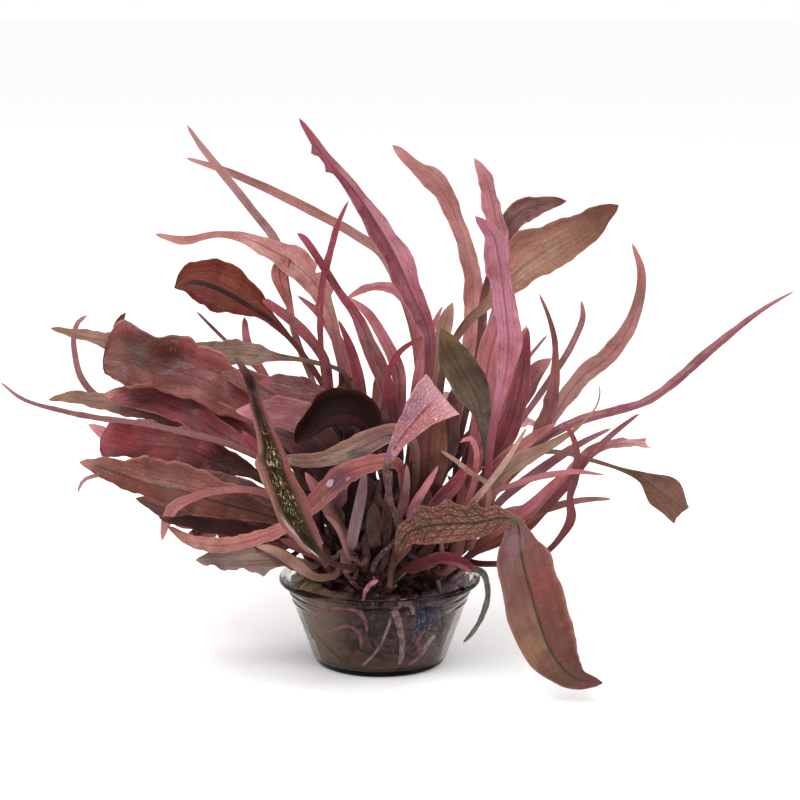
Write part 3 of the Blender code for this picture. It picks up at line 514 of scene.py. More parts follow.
def crown_shape(right, near):
    """A turned stem with a step at each leaf scar, made a little uneven."""
    profile = [(0.0, CROWN_FOOT - 1.2), (2.2, CROWN_FOOT - 1.2)]
    for height in np.linspace(0.0, CROWN_HEIGHT, 5 * CROWN_RINGS):
        ring = (height * CROWN_RINGS / CROWN_HEIGHT) % 1.0
        taper = 1.0 - 0.45 * (height / CROWN_HEIGHT) ** 2
        profile.append((CROWN_RADIUS * taper * (0.82 + 0.16 * ring**0.5), CROWN_FOOT + height))
    profile.append((0.0, CROWN_FOOT + CROWN_HEIGHT + 0.8))
    stem = turned(profile, 28)
    for point in stem.verts:
        turn = atan2(point.co.y, point.co.x)
        swell = 1 + 0.07 * sin(3 * turn + point.co.z + right) + 0.04 * sin(7 * turn - 2 * point.co.z)
        point.co.x *= swell
        point.co.y *= swell
    bmesh.ops.translate(stem, verts=stem.verts, vec=(right, -near, 0.0))
    return stem


crown_finish = Finish("crown_bark")
bark = crown_finish.noise(crown_finish.place(), 1.2, 4.0, 0.8)
crown_finish.shade(
    Base_Color=crown_finish.mix(bark.rise(0.35, 0.65), paint(40, 22, 20), paint(92, 56, 50)),
    Roughness=0.35 + 0.3 * bark,
    Coat_Weight=0.3,
    Normal=crown_finish.bump(bark, 0.4))
for crown_name, (crown_right, crown_near) in CROWNS.items():
    add_piece(
        crown_name.replace("crown_", "") + "_stem", crown_shape(crown_right, crown_near), crown_finish,
        "crown", crown_name)


# The stubs of old leaf stalks bristle round the six stems. They are soft and brown, and their
# blades are gone.
STUBS_PER_CROWN = 12
STUB_PLACES = 18


def stub_route(crown, number):
    """An old stalk's way outwards and up from its stem."""
    right, near = CROWNS[crown]
    turn = 2.4 * number + right
    outward = np.array([cos(turn), sin(turn), 0.0])
    length = 5.0 + 3.0 * abs(sin(1.7 * number + near))
    foot = np.array([right, -near, CROWN_FOOT + 0.3 + 0.45 * number]) + 1.6 * outward
    knots = []
    for share, width in ((0.0, 1.5), (0.3, 1.3), (0.7, 1.0), (1.0, 0.6)):
        rise = (0.7 + 0.05 * number) * share + 0.3 * sin(number) * share**2
        knots.append(np.append(foot + length * (share * outward + rise * UP), width))
    return knots


# The roots are round and fleshy. Four stout ones show well: a pale one and a pink one near the front
# of the gel, a brown one at its left side, and an olive one that grew out over the rim. Many fine ones
# tangle round the foot of the stems. Each place is how far right and how far up the front view shows
# it from the pot's base, how far in front of the pot's axis it lies, and the root's width.
ROOTS = {
    "root_pale_front": [
        (2.6, 12, 12.2, 1.3), (3.8, 7.6, 12.8, 1.6), (4.4, 3.4, 12, 1.5), (3.8, -0.4, 10.8, 1.1)],
    "root_pink_arch": [
        (-4.2, 12, 12.2, 1), (-5.2, 8.6, 12.6, 1.1), (-7.6, 7.6, 11.6, 1.1), (-9.6, 4.4, 9, 0.9)],
    "root_brown_side": [
        (-13.6, 13.2, 4.6, 0.9), (-13.4, 8.6, 5.8, 1), (-11.2, 3.8, 7, 0.8)],
    "root_over_rim": [
        (14, 15.4, 11, 1.2), (17.6, 17.6, 14, 1.3), (20.4, 17, 15.5, 1.3), (21.6, 13, 16, 1.2),
        (20.6, 8.6, 16, 1.1), (18.6, 5, 15.5, 0.9), (16.6, 2.8, 15, 0.6)],
}
ROOT_COLOURS = {
    "root_pale_front": ((206, 186, 184), (168, 138, 140)),
    "root_pink_arch": ((200, 128, 138), (150, 84, 98)),
    "root_brown_side": ((128, 82, 66), (85, 50, 40)),
    "root_over_rim": ((88, 78, 60), (58, 46, 36)),
}
ROOT_SLOTS = {
    "root_pale_front": "root_pale",
    "root_pink_arch": "root_pink",
    "root_brown_side": "root_brown",
    "root_over_rim": "root_olive",
}
ROOT_SIDES = 16
ROOT_PLACES = 60


def placed(right, up, near, width):
    """The real place and width of a point that the front view shows at a place and a size."""
    seen = right * RIGHT + up * VIEW_UP
    stretch = (-near - EYE[1]) / (seen[1] - EYE[1])
    return np.array([*(EYE + stretch * (seen - EYE)), stretch * width])


def smooth_route(knots, places):
    """Evenly spaced places on one smooth curve through the knots."""
    knots = np.array(knots, float)
    steps = np.linalg.norm(np.diff(knots[:, :3], axis=0), axis=1)
    reached = np.concatenate(([0.0], np.cumsum(steps)))
    slopes = np.gradient(knots, reached, axis=0)
    wanted = np.linspace(0.0, reached[-1], places)
    span = np.clip(np.searchsorted(reached, wanted, side="right") - 1, 0, len(steps) - 1)
    step = steps[span][:, None]
    t = (wanted[:, None] - reached[span][:, None]) / step
    start = (2 * t**3 - 3 * t**2 + 1) * knots[span] + (t**3 - 2 * t**2 + t) * step * slopes[span]
    end = (3 * t**2 - 2 * t**3) * knots[span + 1] + (t**3 - t**2) * step * slopes[span + 1]
    return start + end


def unit(vectors):
    return vectors / np.maximum(np.linalg.norm(vectors, axis=-1, keepdims=True), 1e-9)


def length_of(route):
    return np.linalg.norm(np.diff(route[:, :3], axis=0), axis=1).sum()


def rolled(route, across, out, sides, section, marks=()):
    """A closed body along a route: a grid rolled up round it, with its seam merged and its ends filled.

    The section gives how far each corner lies sideways and outwards, and the values of its marks.
    """
    shape = bmesh.new()
    steps = len(route) - 1
    bmesh.ops.create_grid(shape, x_segments=steps, y_segments=sides, size=1.0)
    spots = np.array([point.co[:2] for point in shape.verts])
    place = np.rint((spots[:, 0] + 1) / 2 * steps).astype(int)
    turn = np.rint((spots[:, 1] + 1) / 2 * sides).astype(int) % sides * tau / sides
    sideways, outwards, values = section(place, turn)
    corners = route[place, :3] + sideways[:, None] * across[place] + outwards[:, None] * out[place]
    for point, corner in zip(shape.verts, corners):
        point.co = corner
    for mark, column in zip(marks, values):
        layer = shape.verts.layers.float.new(mark)
        for point, value in zip(shape.verts, column):
            point[layer] = value
    bmesh.ops.remove_doubles(shape, verts=shape.verts, dist=1e-4)
    rims = [edge for edge in shape.edges if edge.is_boundary]
    bmesh.ops.holes_fill(shape, edges=rims, sides=0)
    return shape


def side_ways(route):
    """A steady pair of directions across a round root or stalk."""
    along = unit(np.gradient(route[:, :3], axis=0))
    across = unit(np.cross(along, np.array([0.3, 1.0, 0.2])))
    return across, np.cross(across, along)


def root_shape(route, sides=ROOT_SIDES, unevenness=0.06):
    across, out = side_ways(route)
    steps = len(route) - 1

    def section(place, turn):
        reach = place / steps
        rounded = np.sqrt(np.clip((1.0 - reach) / 0.06, 0.0, 1.0))
        rounded = rounded * np.sqrt(np.clip(0.3 + reach / 0.03, 0.0, 1.0))
        swell = 1 + unevenness * (np.sin(place * 0.9 + 2 * turn) + np.sin(place * 0.37))
        radius = route[place, 3] / 2 * rounded * swell
        return radius * np.cos(turn), radius * np.sin(turn), ()

    return rolled(route, across, out, sides, section)


def root_finish(name, light, dark):
    """A smooth wet skin, mottled between two colours."""
    finish = Finish(name)
    place = finish.place()
    mottle = finish.noise(place, 0.8, 3.0, 0.4)
    skin = finish.noise(place, 3.0, 3.0)
    finish.shade(
        Base_Color=finish.mix(mottle.rise(0.38, 0.62), paint(*dark), paint(*light)),
        Roughness=0.25 + 0.25 * skin,
        Subsurface_Weight=0.3,
        Subsurface_Radius=(1.0, 0.5, 0.4),
        Subsurface_Scale=0.7 * MM,
        Coat_Weight=0.5,
        Coat_Roughness=0.12,
        Normal=finish.bump(skin + mottle, 0.12, 0.6))
    return finish


for root_name, root_places in ROOTS.items():
    root_route = smooth_route([placed(*root_place) for root_place in root_places], ROOT_PLACES)
    add_piece(
        "_".join(reversed(root_name.split("_", 1))), root_shape(root_route),
        root_finish("skin_of_" + root_name, *ROOT_COLOURS[root_name]), ROOT_SLOTS[root_name], root_name)

stub_finish = root_finish("skin_of_old_stalks", (98, 62, 60), (48, 28, 26))
stubs = [
    root_shape(smooth_route(stub_route(crown, number), STUB_PLACES), 8, 0.08)
    for crown in CROWNS for number in range(STUBS_PER_CROWN)]
add_piece("old_stalks", joined_shape(stubs), stub_finish, "crown")


# More roots run between the gel and the pot's wall, half sunk in the gel. The front view shows them
# through the clear wall, so their places are how far right and up it shows them, and their width.
WALL_ROOTS = {
    "pink": [
        [(-13.4, 7.6, 0.7), (-11, 9.4, 1.1), (-7.4, 10, 1.3), (-4.2, 9.2, 1.2), (-2.8, 7, 0.9),
         (-2.6, 5, 0.6)],
        [(-11.8, 3.8, 0.7), (-8.6, 5.8, 1), (-5.8, 6.4, 1.2), (-4, 4.8, 1.1), (-3.6, 1.8, 0.8)],
        [(8.8, 5.6, 0.6), (7.4, 3.4, 0.9), (7.8, 0.6, 0.8), (6.8, -1.6, 0.6)],
        [(-3.4, 11, 0.5), (-3, 13, 0.9), (-1.8, 14.6, 1.1), (-0.4, 15.4, 0.8)]],
    "pale": [
        [(2.6, 9.4, 1.3), (3.2, 8.4, 1.6), (3.9, 5.6, 1.7), (4.3, 3, 1.4), (4.2, 0.4, 1.2), (3.7, -1.6, 0.9)],
        [(10, 3.4, 0.6), (8.4, 1, 0.8), (5.6, -1.4, 0.7)],
        [(2.8, 9.6, 1.1), (4.6, 11, 1.3), (6.2, 10.2, 1.1), (6.6, 8.6, 0.7)],
        [(-3.4, -1.6, 0.5), (-0.6, 1.4, 0.6), (1.2, 5, 0.6), (2.2, 8, 0.6)]],
    "brown": [
        [(-16.2, 10, 0.8), (-14.6, 7.4, 1), (-11.4, 3.6, 0.9), (-8.8, 0.6, 0.7), (-6.4, -1.6, 0.5)],
        [(13.4, 6.4, 0.6), (10.8, 5, 0.7), (8.2, 5.4, 0.6)]],
    "olive": [
        [(11, 10, 1.1), (11.4, 7.4, 1.3), (11.8, 4.4, 1.2), (11.4, 2, 0.7)]],
}
WALL_ROOT_PLACES = 50
WALL_ROOT_COLOURS = {
    "pink": ((158, 92, 102), (104, 54, 62)),
    "pale": ((172, 148, 150), (112, 84, 90)),
    "brown": ((112, 76, 58), (74, 44, 34)),
    "olive": ((84, 72, 54), (54, 42, 30)),
}


def beside_wall(right, up, width):
    """The place against the pot's wall that the front view shows there."""
    place = placed(right, up, 14.0, width)
    for _ in range(6):
        reach = pot_radius(place[2]) - POT_WALL - 0.08 - width / 2
        place = placed(right, up, (reach**2 - min(abs(place[0]), 0.98 * reach) ** 2) ** 0.5, width)
    return place


for tint, routes in WALL_ROOTS.items():
    beside = [
        root_shape(smooth_route([beside_wall(*place) for place in route], WALL_ROOT_PLACES))
        for route in routes]
    add_piece(
        "wall_roots_" + tint, joined_shape(beside),
        root_finish("skin_of_wall_roots_" + tint, *WALL_ROOT_COLOURS[tint]), "root_" + tint)


# A leaf is one thin blade on a stalk, which clasps its stem. This is how all the leaves lie before they
# are shaped: each has its stem, its main tint, and a route like a root's from stalk to tip. Lift turns
# its upper face from the front towards the sky, twist turns its tip, and fold raises its margins. Lift
# and twist are in degrees, and fold is the margins' rise as a share of the half width.
PETIOLE_START = 0.9
PETIOLE_WIDTH = 1.1
PETIOLE_RISE = 2.2
PETIOLE_LEAN = 0.8
PETIOLE_TIERS = (2.2, 4.0, 5.8)
PETIOLE_SPACING = radians(34.0)
LEAF_THICKNESS = 0.85
THICKNESS_SHARE = 0.85
LEAF_PLACES = 12
SETTLE_PLACES = 36
SETTLE_ROUNDS = 200
SETTLE_STEP = 1.5
HELD_PLACES = 5
ELBOW_ROOM = 0.5

Leaf = namedtuple("Leaf", "name crown tint lift twist fold route")

LEAVES = [
    Leaf("leaf_tall_crimson", "crown_centre", "crimson", 10, 15, 0.3, [
        (5.6, 31.8, 4, 1.5), (8.2, 45.8, 8, 1.7), (9.8, 57.8, 11, 2), (9.6, 65.8, 13, 3.6),
        (6.8, 71.8, 13, 4.9), (3, 80.3, 13, 6.2), (-1, 87.3, 14, 5), (-5.5, 93.8, 15, 3),
        (-11.5, 100.8, 16, 2.3), (-14.5, 105.3, 17, 1.5), (-16.2, 107.8, 17, 0.7)]),
    Leaf("leaf_thin_crimson", "crown_centre", "crimson", 20, 30, 0.4, [
        (2.5, 35.8, 4, 1.5), (2.8, 47.8, 5, 2.2), (0.8, 55.8, 5, 3.4), (-2, 62.3, 4, 3.6),
        (-4.6, 68.3, 3, 2.4), (-7.5, 72.3, 2, 1.8), (-10.2, 76.4, 0, 1.7), (-13, 80.8, -1, 1.7),
        (-15.2, 83.8, -2, 1.4), (-16.6, 84.8, -3, 0.8)]),
    Leaf("leaf_thin_upright", "crown_centre", "crimson", 10, 50, 0.4, [
        (-8.5, 42.8, -6, 1.3), (-11, 55.8, -10, 1.5), (-11.8, 66.4, -13, 1.8), (-11.4, 73.8, -15, 2),
        (-9.6, 81.4, -17, 2.2), (-8, 87, -18, 1.8), (-6.2, 91.4, -19, 0.6)]),
    Leaf("leaf_small_arch", "crown_centre", "salmon", 40, 0, 0.3, [
        (8.5, 41.8, -3, 1.2), (9, 55.8, -9, 1.6), (7, 66.8, -14, 2.2), (4, 72.3, -17, 2.6),
        (1, 73.8, -19, 2.6), (-3, 73.4, -20, 2), (-7, 71.4, -21, 0.7)]),
    Leaf("leaf_deep_crimson", "crown_centre", "crimson", 30, 0, 0.4, [
        (-2.5, 39.8, 0, 1.4), (-6, 47.8, -2, 2.6), (-10.5, 50.8, -4, 4.4), (-15, 52.8, -6, 4.8),
        (-20, 54.3, -8, 4), (-24.4, 55, -9, 1)]),
    Leaf("leaf_mauve_inner", "crown_centre", "rose", 25, 0, 0.3, [
        (-6, 33.8, 4, 1.5), (-10, 42.8, 6, 3.5), (-14, 46.8, 6, 6.4), (-19, 48.3, 5, 6.8),
        (-24, 48.8, 3, 4.6), (-29, 49.3, 1, 1)]),
    Leaf("leaf_arching_top_left", "crown_centre", "rose", 35, 25, 0.4, [
        (5, 35.8, -6, 1.4), (7.5, 49.8, -10, 1.7), (7.4, 61.8, -14, 2.3), (5.6, 69.8, -18, 2.7),
        (3.2, 75.8, -21, 2.8), (0.5, 80.6, -24, 2.7), (-5, 84.4, -27, 2.6), (-14, 89.4, -31, 2.6),
        (-23, 93.8, -35, 2.2), (-32, 97.6, -38, 1.8), (-38.8, 99.8, -40, 0.7)]),
    Leaf("leaf_long_left", "crown_left", "mauve", 50, 0, 0.3, [
        (-17.5, 30.8, 2, 1.3), (-21, 37.8, 4, 1.5), (-28, 41.6, 5, 1.7), (-40, 45, 5, 1.9),
        (-48, 46.6, 4, 1.9), (-56, 47.6, 2, 1.8), (-64, 49.2, 0, 1.5), (-72, 51.8, -3, 1.1),
        (-76, 55, -5, 0.6)]),
    Leaf("leaf_round_crimson", "crown_left", "crimson", 25, 0, 0.2, [
        (-17, 29.8, -2, 1.4), (-25, 36.3, -3, 2.4), (-32, 39, -4, 5.2), (-39, 41.2, -5, 7.8),
        (-46, 42.2, -6, 8.8), (-52, 42.8, -7, 8.6), (-56, 43.6, -8, 5)]),
    Leaf("leaf_salmon_left", "crown_left", "salmon", 20, 0, 0.4, [
        (-17, 25.8, 6, 1.4), (-25, 29, 10, 4.6), (-34, 31.4, 12, 8.2), (-41, 33.4, 12, 9.4),
        (-48, 35.2, 11, 8.2), (-54, 37.2, 10, 4.6), (-60.2, 39, 8, 0.8)]),
    Leaf("leaf_pink_hook", "crown_left", "rose", 10, -20, 0.3, [
        (-15, 24.8, 10, 1.4), (-19.5, 30.8, 18, 1.5), (-25, 33.2, 21, 1.5), (-32, 33.2, 21, 1.6),
        (-37.8, 31.6, 20, 2), (-41, 29.8, 19, 2.7), (-42.6, 27.2, 18, 2.3), (-43.6, 23.2, 17, 0.6)]),
    Leaf("leaf_withered_low", "crown_left", "withered", 40, 0, 0.2, [
        (-16.5, 18.8, 10, 1.6), (-21, 20.2, 12, 4.6), (-27, 20.4, 12, 6), (-33, 20, 12, 4.8),
        (-37, 19.4, 12, 1)]),
    Leaf("leaf_tan_left", "crown_left", "olive", 35, 0, 0.3, [
        (-17, 32.8, -8, 1.2), (-26, 41.3, -14, 1.6), (-36, 45.8, -18, 3.4), (-44, 48.2, -21, 4.6),
        (-51, 49.6, -23, 4.8), (-56, 50.8, -25, 4), (-62, 51.8, -27, 2.4), (-66.4, 51.4, -28, 0.7)]),
    Leaf("leaf_olive_tip_left", "crown_back_left", "olive", 40, 0, 0.4, [
        (-12, 31.8, -14, 1.3), (-19, 41.8, -21, 1.5), (-28, 50.8, -27, 1.8), (-38, 57.2, -32, 2.6),
        (-48, 61.2, -36, 3.4), (-55, 63, -38, 3.8), (-60.5, 64.2, -40, 3), (-66, 65.8, -41, 0.7)]),
    Leaf("leaf_broad_maroon", "crown_back_left", "maroon", 30, 0, 0.35, [
        (-11, 30.8, -10, 1.5), (-17, 40.8, -13, 1.8), (-24, 47.4, -16, 4.2), (-30, 50.8, -18, 8),
        (-37, 54.2, -20, 12), (-44, 57.2, -22, 14), (-50, 58.8, -23, 12.4), (-55.5, 59.3, -24, 4.5)]),
    Leaf("leaf_ovate_brown", "crown_back_left", "brown", 25, 0, 0.2, [
        (-7.5, 39.8, -14, 1.1), (-10, 51.4, -19, 1.2), (-14, 58.4, -23, 1.2), (-19, 64.6, -27, 1.4),
        (-23, 68.2, -30, 3.6), (-27.5, 71, -32, 8.6), (-33, 73.6, -34, 9.8), (-37.4, 74.8, -35, 7),
        (-41.2, 73.8, -36, 0.9)]),
    Leaf("leaf_olive_bar", "crown_back_left", "olive", 30, 0, 0.3, [
        (-8.5, 37.8, -14, 1.1), (-7, 49, -14, 1.1), (-7, 56.4, -14, 1.1), (-13, 58.8, -16, 1.2),
        (-20, 59.8, -18, 1.7), (-25, 60.2, -20, 4.4), (-30, 60.6, -22, 5.2), (-35, 61.4, -24, 3),
        (-38.6, 62, -25, 0.7)]),
    Leaf("leaf_salmon_torn", "crown_back_left", "salmon", 35, 20, 0.25, [
        (-6, 43.8, -14, 1.3), (-8, 59.8, -20, 1.8), (-11.4, 71.8, -25, 3.4), (-14, 76, -27, 5.2),
        (-18, 79.2, -29, 6), (-23, 82, -31, 4.2), (-28, 84, -33, 2.1), (-33, 84.4, -35, 1.3),
        (-39, 83.2, -37, 1.9), (-45, 84.6, -39, 0.7)]),
    Leaf("leaf_slender_top_left", "crown_back_left", "mauve", 30, 30, 0.4, [
        (-9, 39.8, -16, 1.2), (-13, 53.8, -24, 1.4), (-17, 64.8, -31, 1.7), (-18.8, 74.8, -36, 1.9),
        (-20.6, 82.8, -40, 2.1), (-25, 88.8, -43, 2), (-31.6, 97, -46, 1.9), (-36, 102.6, -48, 1.4),
        (-38.6, 106.4, -49, 0.6)]),
    Leaf("leaf_back_tall", "crown_back_left", "crimson", 60, 0, 0.3, [
        (-8, 33.8, -22, 1.4), (-10, 43.8, -36, 3.6), (-12, 49.8, -48, 6), (-14, 51.8, -58, 4.2),
        (-16, 50.8, -66, 0.8)]),
    Leaf("leaf_back_left", "crown_back_left", "brown", 60, 0, 0.3, [
        (-14, 35.8, -22, 1.4), (-21, 43.8, -34, 3.2), (-28, 48.3, -44, 5.2), (-34, 50.3, -52, 3.6),
        (-39, 50.8, -58, 0.8)]),
    Leaf("leaf_front_folded", "crown_front", "olive", 5, 0, 0.8, [
        (-4, 17.2, 16, 1.1), (-9, 18.6, 21, 1.3), (-13, 21.6, 26, 2.2), (-16, 25.8, 30, 4.8),
        (-19, 31.6, 33, 7), (-21, 37.8, 34, 6.8), (-22.6, 43.8, 34, 4.2), (-24.6, 50.2, 33, 2.8),
        (-26.4, 56, 32, 1.9), (-29.2, 60.2, 31, 0.7)]),
    Leaf("leaf_low_arc", "crown_front", "salmon", 25, 0, 0.3, [
        (3, 25.8, 14, 1.4), (5, 33.8, 17, 2), (3, 38.8, 20, 2.8), (-2, 38.4, 22, 3.8),
        (-7, 36.6, 24, 4.6), (-10.5, 33.2, 26, 4.2), (-14.5, 29.2, 27, 3.4), (-19, 25.8, 27, 3.1),
        (-26, 23.2, 26, 3.2), (-33, 22.2, 24, 3), (-38, 23.2, 22, 2.4), (-42.5, 26.2, 20, 0.8)]),
    Leaf("leaf_cut_pink", "crown_front", "rose", 15, 0, 0.35, [
        (3.5, 23.8, 18, 1.3), (2, 31.8, 24, 1.3), (1.6, 38.8, 29, 1.7), (4, 43.4, 31, 3.3),
        (7, 47.2, 33, 5.8), (10.5, 50.8, 34, 8.6), (12.4, 52.4, 34, 10.4)]),
    Leaf("leaf_brown_lip", "crown_front", "brown", 20, 0, 0.4, [
        (5, 27.8, 12, 1.4), (6.8, 36.8, 18, 1.6), (5.6, 43.4, 23, 2.4), (1.6, 44.4, 26, 3.8),
        (-3, 42.2, 27, 4.6), (-8, 40, 27, 4), (-13.5, 38.8, 27, 3.2), (-18, 39.2, 26, 2.1),
        (-20.5, 39.8, 25, 0.8)]),
    Leaf("leaf_dark_cupped", "crown_front", "maroon", 20, 0, 0.5, [
        (-5.6, 23.4, 12, 2.2), (-5.4, 30.8, 13, 2.6), (-3.5, 37.8, 13, 2.4), (-1.5, 43.3, 12, 3.6),
        (-3.5, 47.8, 10, 6.2), (-8.5, 48.3, 9, 7.4), (-13.5, 45.3, 9, 5.4), (-17, 42.8, 9, 1.2)]),
    Leaf("leaf_rusty_hanging", "crown_front", "rust", 10, 0, 0.15, [
        (2.4, 18.8, 16, 1.3), (4, 22.4, 21, 2.4), (6.4, 25.2, 24, 5.4), (10.4, 26.2, 26, 7.6),
        (15, 26.6, 27, 7.6), (20, 26.8, 28, 6.4), (24, 27.6, 28, 3.8), (26.6, 27.6, 28, 2.3),
        (27.6, 25.4, 28, 3.8), (28, 21.8, 28, 7.4), (28.8, 17.8, 28, 10.4), (30, 13.2, 28, 12),
        (31.4, 8.4, 28, 12), (33, 3.6, 28, 11), (35.4, -0.8, 28, 8.6), (38.8, -4.2, 28, 5),
        (44.6, -5.2, 28, 0.9)]),
    Leaf("leaf_olive_upright", "crown_right", "olive", 15, 20, 0.25, [
        (16, 25.8, 5, 1.4), (21, 35.8, 6, 1.6), (21, 44.8, 8, 2), (19.8, 50.8, 9, 4.8),
        (17.8, 55.2, 9, 7.4), (15.8, 59, 9, 7.2), (13.8, 62.8, 9, 4.6), (12.2, 65.8, 9, 0.8)]),
    Leaf("leaf_short_rose", "crown_right", "rose", 45, 0, 0.3, [
        (13.5, 24.8, 10, 1.2), (19, 31.4, 14, 1.5), (25, 34, 16, 1.9), (32, 36.2, 17, 2.1),
        (39, 37.2, 17, 1.6), (45.2, 36.4, 16, 0.6)]),
    Leaf("leaf_inner_bronze", "crown_right", "brown", 0, 20, 0.2, [
        (9.4, 27.8, 9, 1.6), (9.6, 32.4, 11.5, 4.2), (9.8, 37.8, 13.5, 7.2), (10, 43.8, 14, 7.2),
        (10.6, 48.8, 14, 5.2), (11.4, 52.8, 14, 0.9)]),
    Leaf("leaf_purple_strap", "crown_right", "purple", 0, 20, 0.3, [
        (18, 23.8, 8, 1.3), (21.4, 35.8, 14, 1.5), (22.6, 45.8, 17, 1.7), (24.4, 53.2, 18, 2.4),
        (25.4, 57.8, 18, 3.8), (25.8, 63.4, 18, 5.2), (25.4, 68.8, 18, 4.6), (24.6, 74.4, 18, 4.6),
        (23.8, 79.8, 19, 5.2), (22.8, 84.2, 20, 4.4), (19, 88.2, 21, 0.8)]),
    Leaf("leaf_front_reed", "crown_right", "tan", 30, 0, 0.5, [
        (12, 20, 13, 1.3), (12.5, 24.3, 18, 1.4), (17, 29.4, 23, 1.7), (21, 34, 27, 1.8),
        (25, 39.2, 29, 1.6), (29.4, 46, 31, 0.6)]),
    Leaf("leaf_thin_right", "crown_right", "crimson", 30, 0, 0.4, [
        (24, 22.8, 10, 1.3), (29, 25.2, 12, 1.5), (34, 30.4, 13, 1.7), (38.4, 35.4, 13, 1.7),
        (42, 40, 13, 1.5), (46, 44, 12, 1.3), (52, 48.8, 11, 0.6)]),
    Leaf("leaf_wavy_stem", "crown_right", "crimson", 20, 0, 0.3, [
        (21, 18.6, 8, 1.3), (27, 18.8, 10, 1.2), (32.4, 20.4, 12, 1.2), (36.2, 24, 14, 1.4),
        (38.4, 28.2, 15, 2.1), (38, 31.8, 15, 1.4), (38.8, 35.2, 15, 1.7), (39.4, 39.8, 15, 1.5),
        (38.6, 44, 14, 1.1), (36.6, 47.2, 13, 0.6)]),
    Leaf("leaf_tan_hook", "crown_right", "tan", 30, 0, 0.4, [
        (15, 22.8, 6, 1.3), (20, 29.8, 10, 1.8), (24, 35.8, 12, 3), (28, 38.8, 13, 3.4),
        (32.4, 41.2, 13, 2.8), (37, 44, 13, 1.9), (40.6, 47, 13, 1.2), (43.4, 50.4, 12, 1),
        (44, 53, 12, 0.8), (43.6, 55, 12, 0.5)]),
    Leaf("leaf_long_right", "crown_right", "mauve", 45, 20, 0.4, [
        (17, 26.8, 3.5, 1.5), (24.5, 36.4, 4, 2.1), (32, 42.8, 3, 2.7), (39, 46.6, 2, 3),
        (47, 48.8, 0, 3), (53, 50.6, -2, 3.1), (59, 54.6, -4, 3.1), (65, 60, -6, 2.9), (71, 65, -8, 2.4),
        (77, 69.6, -10, 1.6), (83, 73.2, -12, 0.6)]),
    Leaf("leaf_rose_tall", "crown_back_right", "salmon", 10, 20, 0.3, [
        (12.5, 35.8, -15, 1.3), (16.2, 51.8, -23, 1.7), (18.6, 66.8, -29, 3.6), (18.4, 76.8, -33, 3.7),
        (16.2, 85.4, -36, 3.2), (13.4, 91.8, -38, 4), (11, 95.2, -39, 4.7), (7.4, 97.8, -40, 2.7),
        (4, 101.2, -41, 1.7), (2.4, 102.4, -42, 0.6)]),
    Leaf("leaf_rose_upright", "crown_back_right", "rose", 0, 30, 0.3, [
        (17.5, 41.8, -16, 1.3), (21.4, 59.8, -21, 2.4), (23.6, 73.8, -24, 3.8), (23.8, 83.8, -26, 4.2),
        (22.6, 90.8, -28, 4.2), (21, 96.4, -29, 3.3), (18.8, 99.8, -30, 0.8)]),
    Leaf("leaf_bronze_blade", "crown_back_right", "bronze", 20, 0, 0.25, [
        (10, 35.8, -3, 1.2), (11.6, 49.8, -2, 1.4), (14, 61.4, -1, 1.6), (18, 67.4, -1, 1.9),
        (23, 71.8, -2, 2.9), (26, 75.4, -2, 7), (30, 79, -3, 10.4), (35.6, 82.4, -4, 9.4),
        (41, 85.4, -5, 6.8), (45, 88.4, -6, 3.8), (47.8, 90.4, -7, 0.8)]),
    Leaf("leaf_dark_blade", "crown_back_right", "maroon", 20, 0, 0.3, [
        (16, 43.8, -13, 1.3), (20, 61.8, -20, 1.6), (22.4, 75.8, -26, 2.2), (24.6, 83.8, -30, 3.5),
        (27.6, 88.4, -33, 5.2), (32, 90.2, -35, 3.8), (37.4, 91.2, -37, 0.7)]),
    Leaf("leaf_salmon_stemmed", "crown_back_right", "salmon", 15, 40, 0.35, [
        (17, 25.8, -3, 1.3), (22.4, 32.4, -4, 1.8), (27.4, 37.8, -5, 2.6), (31, 42.2, -6, 3.6),
        (33.4, 46.8, -6, 4.2), (34.8, 51.8, -7, 3.3), (35.2, 57.8, -8, 1.9), (35, 63.8, -9, 1.3),
        (33.6, 68.8, -10, 1), (31.8, 72.8, -11, 0.5)]),
    Leaf("leaf_crimson_diagonal", "crown_back_right", "crimson", 20, 0, 0.35, [
        (14, 29.8, -10, 1.3), (19, 38.8, -13, 2), (23, 45.4, -15, 3.8), (26.6, 50.2, -16, 5.2),
        (29.6, 54.4, -17, 4.8), (32, 57.8, -18, 2.9), (34.4, 59.8, -19, 0.8)]),
    Leaf("leaf_curved_right", "crown_back_right", "rose", 35, 0, 0.4, [
        (17, 28.8, -14, 1.3), (26, 37.8, -20, 1.5), (33, 45.4, -25, 2.1), (37, 51.4, -29, 3.4),
        (41, 56.4, -32, 3.7), (45.4, 59.6, -34, 4), (49.4, 65, -36, 3.2), (51.8, 71.4, -38, 2.2),
        (52.2, 77.4, -39, 1.7), (50.4, 82.8, -40, 0.6)]),
    Leaf("leaf_cut_pink_right", "crown_back_right", "rose", 45, 0, 0.4, [
        (15.5, 24.8, -18, 1.3), (26, 29.2, -24, 1.7), (32, 30.4, -28, 1.9), (36, 33.6, -31, 2.1),
        (39, 37.8, -34, 2.3), (43, 41.2, -36, 2.5), (48, 42.4, -38, 2.7), (53.2, 42.4, -41, 2.8)]),
    Leaf("leaf_spoon", "crown_back_right", "brown", 20, 0, 0.25, [
        (15, 27.8, -12, 1.1), (23, 35.8, -16, 1), (29, 40.2, -18, 1), (35, 41, -20, 1),
        (42, 39.4, -22, 1), (49, 37.2, -24, 1.1), (52, 36, -25, 2.3), (54.6, 34, -26, 5.3),
        (57.6, 31.2, -27, 5.8), (59.8, 28.6, -28, 4.5)]),
    Leaf("leaf_faint_right", "crown_back_right", "mauve", 30, 0, 0.3, [
        (16, 33.8, -18, 1.1), (27, 45.8, -27, 1.2), (34, 55.4, -35, 1.4), (38.6, 62.8, -40, 1.4),
